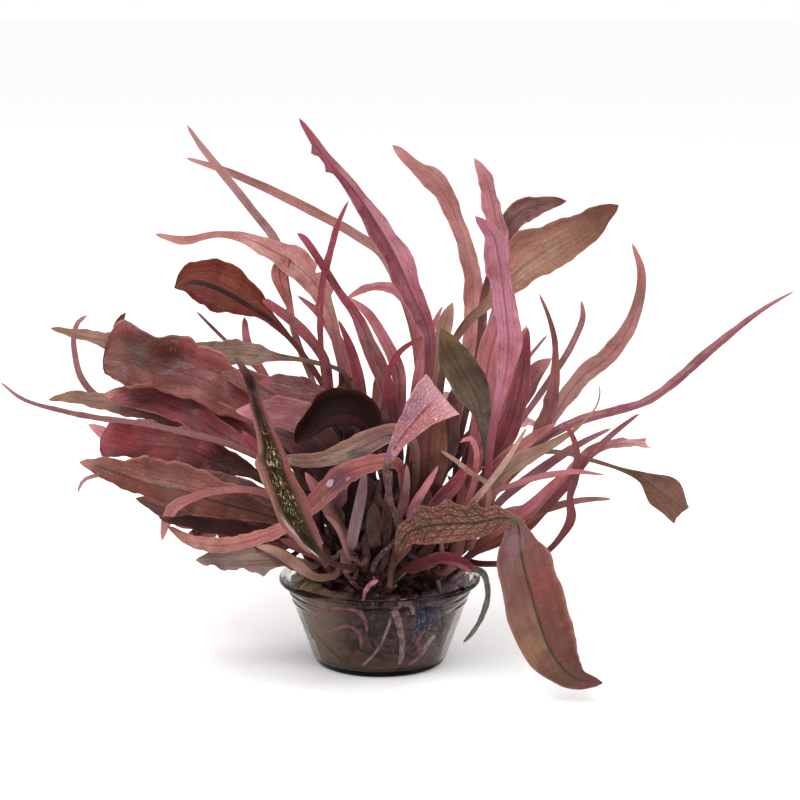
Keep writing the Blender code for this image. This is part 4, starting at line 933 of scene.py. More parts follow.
        (40.6, 68.4, -43, 1.1), (40.2, 71.4, -45, 0.5)]),
    Leaf("leaf_back_upright", "crown_back_right", "bronze", 60, 0, 0.3, [
        (10, 33.8, -22, 1.4), (12.5, 43.8, -36, 3.6), (14, 49.8, -48, 6.2), (15, 51.8, -58, 4.4),
        (16, 50.8, -66, 0.8)]),
    Leaf("leaf_back_right", "crown_back_right", "rose", 60, 0, 0.3, [
        (14, 33.8, -20, 1.4), (21, 41.8, -34, 3.4), (26, 45.8, -45, 5), (30, 46.8, -54, 3.4),
        (34, 45.8, -61, 0.8)]),
]


def spread_headings(headings):
    """Moves the directions round a crown apart until neighbours have room for their petioles."""
    order = np.argsort(headings)
    spread = np.array(headings)[order]
    count = len(spread)
    room = min(PETIOLE_SPACING, 0.96 * tau / count)
    for _ in range(400):
        gaps = np.diff(np.append(spread, spread[0] + tau))
        short = np.maximum(room - gaps, 0.0) / 2
        spread = spread - short + np.roll(short, 1)
    result = np.empty(count)
    result[order] = spread
    return result


def petiole_knots():
    """Every leaf's knots, with its petiole's start beside its crown put in front of its route."""
    knots = {leaf.name: [placed(*place) for place in leaf.route] for leaf in LEAVES}
    for crown, (right, near) in CROWNS.items():
        grown = [leaf.name for leaf in LEAVES if leaf.crown == crown]
        ahead = [knots[name][0] for name in grown]
        headings = spread_headings([atan2(place[1] + near, place[0] - right) for place in ahead])
        tiers = np.argsort(np.argsort(headings)) % len(PETIOLE_TIERS)
        for name, heading, tier in zip(grown, headings, tiers):
            outward = np.array([cos(heading), sin(heading), 0.0])
            width = min(knots[name][0][3], PETIOLE_WIDTH)
            height = CROWN_FOOT + PETIOLE_TIERS[tier]
            start = np.array([right, -near, height]) + (CROWN_RADIUS + PETIOLE_START) * outward
            rise = start + PETIOLE_RISE * (PETIOLE_LEAN * outward + UP)
            knots[name] = [np.append(start, width), np.append(rise, width), *knots[name]]
    return knots


def leaf_frames(centres, lifts, twists):
    """For each place on each leaf: the ways along the leaf, across it and out of its upper face."""
    along = unit(np.gradient(centres, axis=1))
    to_eye = unit(EYE - centres)
    lifts = np.radians(lifts)[:, None, None]
    face = np.cos(lifts) * to_eye + np.sin(lifts) * UP
    across = unit(np.cross(along, face))
    for place in range(1, across.shape[1]):
        turned_over = (across[:, place] * across[:, place - 1]).sum(-1, keepdims=True) < 0
        across[:, place] = np.where(turned_over, -across[:, place], across[:, place])
    for _ in range(3):
        across[:, 1:-1] = across[:, :-2] + across[:, 1:-1] + across[:, 2:]
        across = unit(across - (across * along).sum(-1, keepdims=True) * along)
    out = np.cross(across, along)
    turn = np.radians(twists)[:, None, None] * np.linspace(0, 1, centres.shape[1])[None, :, None]
    across = np.cos(turn) * across + np.sin(turn) * out
    return along, across, np.cross(across, along)


def thickness_of(widths):
    """A leaf's thickness, which is less where the leaf is very narrow."""
    return np.minimum(LEAF_THICKNESS, THICKNESS_SHARE * widths)


def pushes_apart(centres, sizes, frames, owners):
    """How far each place has to move to clear the leaves and crowns near it, taken as small boxes."""
    reach = np.linalg.norm(sizes, axis=1)
    squares = (centres**2).sum(1)
    apart = squares[:, None] + squares[None, :] - 2 * centres @ centres.T
    limit = (reach[:, None] + reach[None, :] + ELBOW_ROOM) ** 2
    first, second = np.nonzero(np.triu(apart < limit, 1) & (owners[:, None] != owners[None, :]))
    between = centres[second] - centres[first]
    crossed = np.cross(frames[first, 0], frames[second, 0])
    crossed = np.where(np.linalg.norm(crossed, axis=1, keepdims=True) > 0.2, crossed, between)
    ways = [frames[first, 1], frames[first, 2], frames[second, 1], frames[second, 2], crossed]
    ways = unit(np.stack(ways, axis=1))
    depth = np.abs(np.einsum("pki,pai->pka", ways, frames[first])) @ sizes[first][:, :, None]
    depth += np.abs(np.einsum("pki,pai->pka", ways, frames[second])) @ sizes[second][:, :, None]
    distance = np.einsum("pki,pi->pk", ways, between)
    clear = np.abs(distance) - depth[:, :, 0]
    best = clear.argmax(1)
    row = np.arange(len(best))
    short = ELBOW_ROOM - clear[row, best]
    push = ways[row, best] * (np.where(distance[row, best] < 0, -1, 1) * np.maximum(short, 0) / 2)[:, None]
    total = np.zeros_like(centres)
    count = np.full(len(centres), 1e-9)
    np.add.at(total, first, -push)
    np.add.at(total, second, push)
    np.add.at(count, first, short > 0)
    np.add.at(count, second, short > 0)
    return total / count[:, None]


def clear_of_pot(centres, half_thickness):
    """Lifts what lies too low over the gel or the rim, and pushes what hangs outside off the rim."""
    out = np.linalg.norm(centres[..., :2], axis=-1)
    lip = POT_RIM_RADIUS + POT_LIP + ELBOW_ROOM + half_thickness
    over_wall = out > POT_RIM_RADIUS - POT_WALL - ELBOW_ROOM - half_thickness
    lowest = np.where(over_wall, POT_HEIGHT, GEL_TOP + GEL_DOME) + ELBOW_ROOM + half_thickness
    low = (out < lip) & (centres[..., 2] < lowest)
    lift = np.where(low, lowest - centres[..., 2], 0.0)
    aside = np.where(low, lip - out, 0.0)
    by_side = aside < lift
    centres[..., 2] += np.where(by_side, 0.0, lift)
    centres[..., :2] *= np.where(by_side, 1 + aside / np.maximum(out, 1e-9), 1.0)[..., None]


def crown_posts():
    """Places up the middle of every stem, which the leaves keep clear of."""
    heights = np.arange(0.5, CROWN_HEIGHT, 1.0)
    return np.array([
        (right, -near, CROWN_FOOT + height) for right, near in CROWNS.values() for height in heights])


def settle(routes, leaves, rounds=SETTLE_ROUNDS, held=0):
    """Moves leaves that would pass through each other apart, and keeps them smooth.

    Only the first ones may be held still, as many of them as held says.
    """
    count, places = routes.shape[:2]
    lifts = [leaf.lift for leaf in leaves]
    twists = [leaf.twist for leaf in leaves]
    posts = crown_posts()
    owners = np.concatenate([np.repeat(np.arange(count), places), np.repeat(count, len(posts))])
    post_sizes = np.tile([CROWN_RADIUS, CROWN_RADIUS, 0.5], (len(posts), 1))
    post_frames = np.tile(np.eye(3), (len(posts), 1, 1))
    freedom = np.clip((np.arange(places) - 1) / (HELD_PLACES - 1), 0.0, 1.0)[None, :, None]
    centres = routes[..., :3].copy()
    widths = routes[..., 3]
    for _ in range(rounds):
        frames = np.stack(leaf_frames(centres, lifts, twists), axis=2)
        step = np.linalg.norm(np.gradient(centres, axis=1), axis=2)
        sizes = np.stack([step / 2, widths / 2, thickness_of(widths) / 2], axis=-1)
        pushes = pushes_apart(
            np.concatenate([centres.reshape(-1, 3), posts]),
            np.concatenate([sizes.reshape(-1, 3), post_sizes]),
            np.concatenate([frames.reshape(-1, 3, 3), post_frames]),
            owners,
        )
        moves = pushes[: count * places].reshape(count, places, 3)
        for _ in range(3):
            moves[:, 1:-1] = (moves[:, :-2] + 2 * moves[:, 1:-1] + moves[:, 2:]) / 4
        moves[:held] = 0.0
        centres += SETTLE_STEP * freedom * moves
        clear_of_pot(centres, thickness_of(widths) / 2)
    return np.concatenate([centres, widths[..., None]], axis=-1)


def all_routes():
    """Where each leaf lies once the leaves have settled against each other."""
    knots = petiole_knots()
    return settle(np.array([smooth_route(knots[leaf.name], SETTLE_PLACES) for leaf in LEAVES]), LEAVES)


ROUTES = dict(zip([leaf.name for leaf in LEAVES], all_routes()))
LEAF_OF = {leaf.name: leaf for leaf in LEAVES}


# The blade is thin, with a stout midrib below, a shallow groove above it, and ruffled margins. Every
# corner of its mesh carries how far along, across and over the leaf it is, for the veins in its skin.
MARKS = ("reach", "across", "over", "length", "half")
MARGIN_THICKNESS = 0.09
MIDRIB_DEPTH = 0.34
GROOVE_DEPTH = 0.12
STALK_HALF = 0.42
TIP_LENGTH = 1.3
CLASP = 0.75
CUT_FROM = 0.93


def smooth_step(value, low, high):
    share = np.clip((value - low) / (high - low), 0.0, 1.0)
    return share * share * (3 - 2 * share)


def fine_lie(leaf, route, places):
    """A leaf's route at many places, with the directions across it and out of its upper face."""
    count = max(LEAF_PLACES, len(leaf.route) + 2)
    coarse = smooth_route(route, count)
    across = leaf_frames(coarse[None, :, :3], [leaf.lift], [leaf.twist])[1][0]
    fine = smooth_route(route, places)
    reach = np.linspace(0.0, 1.0, places)
    stations = np.linspace(0.0, 1.0, count)
    across = np.stack([np.interp(reach, stations, across[:, axis]) for axis in range(3)], axis=1)
    for _ in range(12):
        across[1:-1] = (across[:-2] + across[1:-1] + across[2:]) / 3
    along = unit(np.gradient(fine[:, :3], axis=0))
    across = unit(across - (across * along).sum(-1, keepdims=True) * along)
    return fine, across, np.cross(across, along)


def clasped(leaf, fine, across, out):
    """Lets a leaf's foot reach into its stem, a little wider than its stalk."""
    right, near = CROWNS[leaf.crown]
    start = fine[0, :3]
    toward = np.array([right, -near, start[2] - 1.2]) - start
    foot = start + CLASP * toward
    shares = np.array([1.0, 0.7, 0.4, 0.15])
    rows = np.column_stack([start + shares[:, None] * (foot - start), fine[0, 3] * (1 + 0.5 * shares)])
    return (
        np.vstack([rows, fine]),
        np.vstack([np.repeat(across[:1], 4, axis=0), across]),
        np.vstack([np.repeat(out[:1], 4, axis=0), out]))


def tear_end(shape, along):
    """Makes the cut end of a leaf uneven, with its corners a little ahead of its middle."""
    reach, across = [shape.verts.layers.float[mark] for mark in ("reach", "across")]
    for point in shape.verts:
        share = max(0.0, (point[reach] - CUT_FROM) / 0.07)
        uneven = 0.35 * point[across] ** 2 + 0.12 * sin(8 * point[across] + 1.0)
        point.co += share * uneven * Vector(along)


# A leaf's form. Slim narrows it. Its margins' ruffle has a height and a wave length in mm, and quilt
# raises the fields between its fine veins. A tooth has its reach, its side, its length and its depth.
Form = namedtuple("Form", "slim ruffle wave crumple curl cut teeth sides quilt wobble")
PLAIN_FORM = Form(
    slim=1.0, ruffle=0.5, wave=6.5, crumple=0.5, curl=0.1, cut=False, teeth=(), sides=20, quilt=0.0,
    wobble=1.0)


def half_width(form, seed, width, reach, total, blade, side):
    """Half a leaf's width on each side of its midrib: uneven, toothed, and rounded at the tip."""
    half = form.slim * width / 2
    length = reach * total
    sway = 0.06 * np.sin(length / 3.7 + seed + 2 * side) + 0.04 * np.sin(length / 1.5 + 3 * seed - side)
    half = half * (1 + form.wobble * blade * np.minimum(1.0, half / 2.0) * sway)
    for tooth_reach, tooth_side, tooth_length, tooth_depth in form.teeth:
        near = smooth_step(tooth_length - np.abs(reach - tooth_reach) * total, 0.0, tooth_length)
        half = half + np.where(side == tooth_side, tooth_depth * near, 0.0)
    if form.cut:
        return half
    return half * np.sqrt(np.clip((1 - reach) / (TIP_LENGTH / total), 0.0, 1.0))


def skin_height(half, spread, over):
    """How far a blade's two skins lie off its middle: stout at the midrib, which has a groove above."""
    thinned = np.minimum(1.0, half / 0.5)
    middle = np.minimum(0.16 + 0.06 * half, 0.34) * thinned
    margin = MARGIN_THICKNESS * thinned
    thick = margin + (middle - margin) * np.exp(-((spread / 0.4) ** 2))
    rib = np.exp(-((half * spread / 0.38) ** 2)) * np.minimum(1.0, half / 3)
    groove = np.where(over > 0, GROOVE_DEPTH, MIDRIB_DEPTH) * rib
    return thick * np.sign(over) * np.abs(over) ** 0.4 - groove


def blade_bends(form, seed, length, half, spread, side):
    """How far a blade bends: ruffled and rolled in at its margins, crumpled and quilted between them."""
    size = np.minimum(1.0, half / 2.5) ** 1.6
    phase = length * tau / form.wave + seed + 1.9 * side
    waves = np.sin(phase + 0.7 * np.sin(length / 3.3 + seed)) + 0.45 * np.sin(2.3 * phase + 1.0)
    bends = np.sin(length / 4.3 + seed) * spread
    bends = bends + 0.5 * np.sin(length / 2.9 + 2 * seed) * (1 - 2 * spread**2)
    rolled_in = form.curl * half * (np.maximum(np.abs(spread) - 0.6, 0.0) / 0.4) ** 2
    fields = np.sin(length * 2.4 + 1.3 * side) * np.sin(half * spread * 2.0) * (1 - spread**2)
    return size * (form.ruffle * spread**2 * waves + form.crumple * bends) + rolled_in + form.quilt * fields


def leaf_shape(fine, across, out, fold, seed=0.0, **wishes):
    """The closed blade and stalk of one leaf, in the plain form but for what is wished."""
    form = PLAIN_FORM._replace(**wishes)
    steps = len(fine) - 1
    total = length_of(fine)
    widths = fine[:, 3]
    opening = np.maximum(smooth_step(widths, 1.5, 2.8), smooth_step(np.linspace(0, 1, steps + 1), 0.3, 0.6))
    bladed = np.maximum.accumulate(opening)

    def section(place, turn):
        reach = place / steps
        blade = bladed[place]
        cosine, over = np.cos(turn), np.sin(turn)
        side = np.sign(cosine)
        spread = (1 - blade) * cosine + blade * side * np.abs(cosine) ** 1.4
        half = half_width(form, seed, widths[place], reach, total, blade, side)
        as_blade = fold * half * (np.sqrt(spread**2 + 0.02) - 0.12) + skin_height(half, spread, over)
        as_blade = as_blade + blade_bends(form, seed, reach * total, half, spread, side)
        channel = 0.25 * np.exp(-((cosine / 0.5) ** 2)) * (over > 0)
        as_stalk = STALK_HALF * widths[place] * over * (1 - channel)
        outwards = blade * as_blade + (1 - blade) * as_stalk
        return half * spread, outwards, (reach, spread, over, reach * total, half)

    shape = rolled(fine, across, out, form.sides, section, MARKS)
    if form.cut:
        tear_end(shape, unit(fine[-1, :3] - fine[-3, :3]))
    return shape


# A leaf's skin: its body colour clouds into a second one, with long veins and a net of fine ones. The
# rim, the midrib, the stalk, the tip and the underside each have a colour of their own. The colours of
# the skins are given as paint takes them.
Skin = namedtuple("Skin", "body cloud rim rib vein stalk tip under")
SKINS = {
    "crimson": Skin(
        (130, 40, 54), (84, 20, 28), (182, 100, 112), (74, 18, 26), (80, 24, 32), (98, 48, 46),
        (142, 66, 74), (150, 72, 84)),
    "rose": Skin(
        (176, 102, 108), (140, 66, 72), (206, 150, 152), (124, 44, 54), (132, 56, 64), (118, 60, 58),
        (188, 124, 126), (186, 118, 124)),
    "salmon": Skin(
        (170, 100, 94), (134, 64, 60), (198, 138, 132), (104, 42, 40), (118, 50, 48), (108, 54, 50),
        (172, 116, 108), (178, 114, 108)),
    "purple": Skin(
        (152, 68, 90), (112, 38, 58), (188, 112, 130), (96, 32, 48), (106, 40, 58), (82, 42, 40),
        (158, 84, 98), (170, 94, 114)),
    "mauve": Skin(
        (150, 100, 102), (110, 62, 64), (178, 132, 134), (92, 44, 44), (104, 54, 56), (112, 66, 62),
        (164, 120, 118), (164, 114, 114)),
    "maroon": Skin(
        (100, 36, 36), (54, 20, 18), (172, 98, 98), (50, 16, 16), (58, 20, 20), (82, 40, 36),
        (104, 54, 44), (132, 68, 66)),
    "brown": Skin(
        (110, 52, 40), (66, 26, 20), (146, 86, 72), (48, 20, 16), (60, 26, 20), (84, 44, 36),
        (100, 56, 40), (136, 80, 66)),
    "bronze": Skin(
        (142, 90, 68), (106, 54, 42), (172, 108, 98), (108, 80, 46), (98, 56, 40), (96, 52, 40),
        (104, 48, 38), (162, 104, 88)),
    "olive": Skin(
        (120, 86, 60), (80, 50, 36), (158, 102, 90), (70, 50, 30), (78, 52, 34), (70, 38, 30),
        (128, 90, 66), (146, 104, 86)),
    "tan": Skin(
        (158, 122, 104), (124, 84, 70), (188, 156, 140), (112, 72, 60), (120, 80, 66), (124, 82, 66),
        (150, 118, 102), (168, 134, 120)),
    "rust": Skin(
        (142, 84, 66), (100, 50, 40), (186, 124, 112), (66, 32, 24), (58, 26, 20), (86, 66, 36),
        (100, 58, 42), (156, 106, 94)),
    "withered": Skin(
        (138, 108, 96), (96, 68, 58), (164, 138, 124), (82, 60, 50), (86, 66, 56), (104, 76, 64),
        (146, 124, 112), (144, 122, 112)),
}
LILAC = Skin(
    (150, 118, 126), (118, 80, 88), (178, 150, 158), (116, 78, 88), (116, 76, 86), (128, 84, 88),
    (150, 120, 128), (160, 128, 136))

# Deep in the clump the leaves are darkened towards a deep brown, partly painted shade and partly the brown of
# older leaf bases. A band colours a leaf from one reach to its tip, with a colour for each side of its
# midrib.
# A spot has a reach, a place across, a size in mm and a colour.
HEART = (-2.0, 2.0, 31.0)
HEART_SHADE_AND_AGE_BROWN = paint(40, 19, 18)
DULL_BROWN = paint(88, 56, 46)
# The pale sheen, the pale specks, the glints and the streak below are painted highlights.
PAINTED_SHEEN_PALE = paint(226, 206, 200)
PAINTED_SPECK_HIGHLIGHT = paint(232, 205, 200)
GLINT_GOLD = paint(176, 154, 98)
GLINT_WHITE = paint(246, 240, 222)
HIGHLIGHT_STREAK_WHITE = paint(244, 232, 226)
Band = namedtuple("Band", "start end upper lower")
Spot = namedtuple("Spot", "reach across size colour share")


class LeafFinish(Finish):
    """A leaf's skin, with the leaf's own marks and the patterns that its parts share.

    Side is how far off the midrib a place is, in millimetres, and flat lays the leaf out as a sheet.
    """

    def __init__(self, name, seed, total):
        super().__init__(name)
        self.seed = seed
        self.total = total
        self.reach, self.across, self.over, self.length, self.half = [self.mark(mark) for mark in MARKS]
        self.side = self.across * self.half
        self.blade = self.half.rise(0.75, 1.5)
        self.flat = self.sheet(1.0, 1.0, 7.0 * seed)
        self.patches = self.noise(self.flat, 0.13, 3.0, 0.6)
        self.mottle = self.noise(self.flat, 0.9, 4.0, 0.8)
        self.fibres = self.noise(self.sheet(0.10, 3.0, 5.0 * seed), 1.0, 3.0, 0.3)

    def sheet(self, along, aside, page):
        """The leaf as a flat sheet, drawn out along and across, on a page of its own in the noise."""
        return self.node("ShaderNodeCombineXYZ", {}, {0: along * self.length, 1: aside * self.side, 2: page})

    def vein_lines(self, count, width, near_part):
        """Long veins, which grow faint past the near part of the leaf."""
        phase = self.across * (count * pi) + 0.9 * (self.mottle - 0.5) + self.reach * 0.8
        return abs(phase.sine()).rise(width, 0.0) * (0.25 + 0.75 * near_part)

    def vein_net(self, fineness, cross, near_part):
        """A net of fine veins, with some that cross the leaf."""
        cell_place = self.node("ShaderNodeCombineXYZ", {}, {
            0: 0.75 * fineness * self.length + 0.9 * self.mottle,
            1: 1.5 * fineness * self.side + 1.1 * self.patches,
            2: self.seed})
        settings = {"feature": "DISTANCE_TO_EDGE"}
        cells = self.node("ShaderNodeTexVoronoi", settings, {"Vector": cell_place, "Scale": 0.9})
        netting = cells.rise(0.12, 0.01) * near_part
        if not cross:
            return netting
        slant = 1.15 * self.length + 1.3 * abs(self.side) + 1.6 * (self.mottle - 0.5)
        crossing = abs(slant.sine()).rise(0.36, 0.08)
        return netting.math("MAXIMUM", netting, cross * crossing * near_part)

    def body(self, skin, other, pale, bands, dull):
        """The leaf's body with its bands and clouds, dulled by grime."""
        tone = skin.body
        # The other side's colour is partly the blade's own and partly painted shade of a fold.
        if other:
            tone = self.mix(self.across.rise(0.10, -0.10), tone, paint(*other))
        for band in bands:
            shade = self.mix(self.across.rise(-0.10, 0.10), paint(*band.lower), paint(*band.upper))
            begun = (self.reach + 0.12 * (self.patches - 0.5)).rise(band.start, band.end)
            tone = self.mix(begun, tone, shade)
        tone = self.mix(0.85 * self.patches.rise(0.40, 0.68), tone, skin.cloud)
        if pale:
            lit = self.patches.rise(0.30, 0.55) * self.reach.rise(0.3, 0.5)
            tone = self.mix(lit, tone, paint(*pale))
        grime = self.noise(self.flat, 0.07, 4.0, 1.2)
        tone = self.mix(dull * grime.rise(0.48, 0.62) * self.blade, tone, DULL_BROWN)
        tone = self.mix(0.22 * self.mottle.rise(0.50, 0.80), tone, skin.rim)
        return self.mix(0.45 * self.fibres.rise(0.48, 0.72), tone, skin.cloud)

    def rimmed(self, tone, skin, left_rim, rim_from, rim_share):
        """Colours the margins. A lit left rim has a lighter colour of its own, painted light on the margin
        that faces the light, and is streaked.
        """
        rim = abs(self.across).rise(rim_from, 0.3 * rim_from + 0.7) * self.blade
        rim_tone = skin.rim
        if left_rim:
            rim_tone = self.mix(self.across.rise(0.05, -0.05), skin.rim, paint(*left_rim))
            rim_tone = self.mix(0.6 * self.fibres.rise(0.42, 0.62), rim_tone, skin.under)
        return self.mix(rim_share * rim, tone, rim_tone)

    def ended(self, tone, skin):
        """Colours the underside, the stalk and the tip."""
        tone = self.mix(0.5 * self.over.rise(0.0, -0.3), tone, skin.under)
        tone = self.mix(0.8 * self.half.rise(1.3, 0.7) * self.reach.rise(0.9, 0.4), tone, skin.stalk)
        return self.mix(0.8 * self.reach.rise(0.92, 1.0), tone, skin.tip)

    def spotted(self, tone, spots):
        """Adds ragged spots."""
        for spot in spots:
            off_reach = (self.reach - spot.reach) * self.total
            off_side = (self.across - spot.across) * self.half
            ragged = spot.size**2 * (1.2 * (self.mottle - 0.5) + 2.5 * (self.patches - 0.5))
            away = 0.4 * off_reach * off_reach + off_side * off_side + ragged
            share = spot.share * away.rise(spot.size**2, 0.2 * spot.size**2)
            tone = self.mix(share, tone, paint(*spot.colour))
        return tone

    def weathered(self, tone, film, speckle):
        """Paints a thin pale sheen of reflected light on the blade, darkens it deep in the clump with painted
        shade and the brown of older leaf bases, and adds pale specks of painted highlight.
        """
        # A pale sheen of water, painted as reflected light.
        wet_film = self.noise(self.sheet(0.22, 0.9, 13.0 * self.seed), 1.0, 3.0, 0.9).rise(0.40, 0.64)
        tone = self.mix(film * (0.4 + wet_film) * self.blade, tone, PAINTED_SHEEN_PALE)
        # Painted shade, with the brown of older leaf bases, deep in the clump.
        depth = self.distance(self.place(), HEART)
        tone = self.mix(0.85 * depth.rise(29.0, 13.0), tone, HEART_SHADE_AND_AGE_BROWN)
        # Pale specks of painted highlight.
        if speckle:
            highlight_speck_mask = self.noise(self.flat, 2.2, 4.0, 1.0).rise(0.58, 0.70)
            tone = self.mix(speckle * highlight_speck_mask, tone, PAINTED_SPECK_HIGHLIGHT)
        return tone

    def glinting(self, tone, glints, rim_from, drawn, tiny):
        """Painted highlights: wet glints in the folded leaf's channel, and a bright highlight streak along
        its left margin.
        """
        pools = self.noise(drawn, 0.6, 2.0, 0.6).rise(0.38, 0.55)
        channel = abs(self.across).rise(rim_from + 0.25, rim_from - 0.1)
        channel = channel * self.reach.rise(0.44, 0.54) * self.reach.rise(0.82, 0.72)
        tone = self.mix(glints * pools * tiny.rise(0.50, 0.60) * channel, tone, GLINT_GOLD)
        tone = self.mix(0.95 * pools * tiny.rise(0.60, 0.66) * channel, tone, GLINT_WHITE)
        highlight_streak = abs(self.across + 0.68).rise(0.16, 0.03)
        highlight_streak = highlight_streak * self.reach.rise(0.33, 0.37) * self.reach.rise(0.58, 0.48)
        return self.mix(highlight_streak * self.fibres.rise(0.40, 0.54), tone, HIGHLIGHT_STREAK_WHITE)


def leaf_finish(
        name, skin, seed=0.0, total=60.0, veins=3, net=0.12, fine_net=1.0, net_end=2.0, other=None,
        pale=None, bands=(), spots=(), rim_from=0.86, rim_share=0.45, left_rim=None, rib_share=0.7,
        rib_width=0.34, cross=0.0, speckle=None, glints=0.0, line_width=0.30, line_share=0.35, wet=0.1,
        rough=0.5, shine=0.3, relief=1.0, dull=0.35, film=0.06):
    """The skin of one leaf. Other is its body colour on the negative side of the midrib, partly the blade's
    own second colour and partly painted shade where the blade folds away from the light. Pale is
    a lighter colour that clouds its middle part. The net of veins fades at the reach net_end."""
    skin = Skin(*[paint(*colour) for colour in skin])
    finish = LeafFinish(name, seed, total)
    near_part = finish.reach.rise(net_end + 0.06, net_end - 0.06)
    lines = finish.vein_lines(veins, line_width, near_part)
    netting = finish.vein_net(fine_net, cross, near_part)
    tone = finish.body(skin, other, pale, bands, dull)
    tone = finish.mix(line_share * lines * finish.blade, tone, skin.vein)
    tone = finish.mix(net * netting * finish.blade, tone, skin.vein)
    rib = abs(finish.side).rise(rib_width, 0.3 * rib_width) * finish.blade
    tone = finish.mix(rib_share * rib, tone, skin.rib)
    tone = finish.rimmed(tone, skin, left_rim, rim_from, rim_share)
    tone = finish.spotted(finish.ended(tone, skin), spots)
    tone = finish.weathered(tone, film, speckle)
    height = 0.5 * finish.mottle + 0.5 * finish.fibres - 0.4 * lines - (0.3 + net) * netting
    if glints:
        drawn = finish.sheet(0.55, 1.6, 3.0 * seed)
        tiny = finish.noise(drawn, 2.4, 3.0, 0.8)
        tone = finish.glinting(tone, glints, rim_from, drawn, tiny)
        height = height + 2.0 * tiny
    drops = finish.noise(finish.flat, 0.45, 2.0, 0.5)
    finish.shade(
        Base_Color=tone,
        Roughness=rough + 0.2 * finish.mottle - 0.15 * drops,
        Specular_IOR_Level=shine,
        Coat_Weight=wet * drops.rise(0.40, 0.65),
        Coat_Roughness=0.10,
        Subsurface_Weight=0.12,
        Subsurface_Radius=(1.0, 0.45, 0.40),
        Subsurface_Scale=0.35 * MM,
        Normal=finish.bump(height, 0.16 * relief, 0.8))
    return finish


def dress(name, pitch=1.0, like=None, **wishes):
    """Makes one leaf in full detail in place of its solid, with a mesh row at every pitch along it.

    Its skin is its tint's, or like another tint's. A wish is a field of the skin or of the form, or
    something that leaf_finish takes.
    """
    leaf = LEAF_OF[name]
    seed = 0.7 * LEAVES.index(leaf)
    route = ROUTES[name]
    places = int(length_of(route) / pitch) + 2
    fine, across, out = clasped(leaf, *fine_lie(leaf, route, places))
    form = {wish: wishes.pop(wish) for wish in Form._fields if wish in wishes}
    colours = {wish: wishes.pop(wish) for wish in Skin._fields if wish in wishes}
    skin = SKINS[like or leaf.tint]._replace(**colours)
    finish = leaf_finish("skin_of_" + name, skin, seed, length_of(fine), **wishes)
    shape = leaf_shape(fine, across, out, leaf.fold, seed, **form)
    add_piece(name.removeprefix("leaf_") + "_leaf", shape, finish, "leaf_" + leaf.tint, name)


# The leaves of the middle stem are crimson, narrow and upright. The tallest is darker on one side of its
# midrib, painted shade where it folds away from the light, with a wavy right margin and two small spurs near
# its tip.
dress(
    "leaf_tall_crimson", 0.6, body=(172, 110, 122), cloud=(140, 68, 84), rim=(184, 132, 142),
    other=(106, 28, 48), veins=2, dull=0.1, film=0.02,
    bands=(Band(0.88, 0.96, (140, 76, 86), (112, 50, 60)), Band(0.68, 0.60, (116, 38, 54), (88, 22, 38))),
    ruffle=0.5, wave=5.0, crumple=0.35, slim=0.9, wobble=2.2, teeth=((0.935, -1, 1.3, 0.9),
    (0.895, -1, 1.1, 0.8)), sides=28)
dress("leaf_thin_crimson", 0.8, slim=0.95, crumple=0.7)
dress("leaf_thin_upright", 0.8, slim=0.85, teeth=((0.72, -1, 1.5, 0.8),))
dress("leaf_small_arch", 0.8, like="rose", body=(150, 78, 84))
dress("leaf_deep_crimson", 0.8, body=(98, 26, 34), cloud=(66, 16, 20), rim=(128, 58, 62), film=0.04)
dress("leaf_mauve_inner", 0.8, body=(128, 62, 66), cloud=(92, 34, 38), rim=(158, 96, 98))
dress("leaf_arching_top_left", 0.8, body=(152, 100, 94), cloud=(124, 68, 64), slim=0.78)


# The left stem's leaves spread low towards the left. They are broad and dark, with pale rims, and
# each narrows to a stalk that clasps the stem. The lowest one has withered.
dress("leaf_long_left", 0.8, body=(122, 78, 78), cloud=(92, 52, 50), slim=0.85)
dress(
    "leaf_round_crimson", 0.8, body=(120, 46, 52), cloud=(70, 30, 24), rim=(158, 100, 104),
    rib=(70, 24, 26), shine=0.2, wet=0.0, film=0.0, spots=(Spot(0.55, -0.1, 5.0, (48, 24, 18), 0.85),
    Spot(0.90, 0.0, 3.0, (128, 36, 46), 0.5)), crumple=1.1, curl=0.4, ruffle=0.8)
dress(
    "leaf_salmon_left", 0.8, body=(142, 84, 76), cloud=(96, 52, 40), rim=(164, 104, 102),
    rib=(50, 26, 20), vein=(74, 36, 28), other=(104, 54, 42), dull=0.5, film=0.0,
    bands=(Band(0.85, 0.97, (120, 78, 66), (96, 62, 50)),), crumple=0.9, curl=0.4, ruffle=0.8)
dress("leaf_pink_hook", 0.8, body=(150, 86, 86), cloud=(126, 62, 62))
dress("leaf_withered_low", 0.8, dull=0.5, film=0.04, crumple=1.5, ruffle=1.0, wobble=2.5)
dress("leaf_tan_left", 0.8, body=(138, 98, 76), cloud=(98, 60, 44), film=0.05, crumple=0.8)


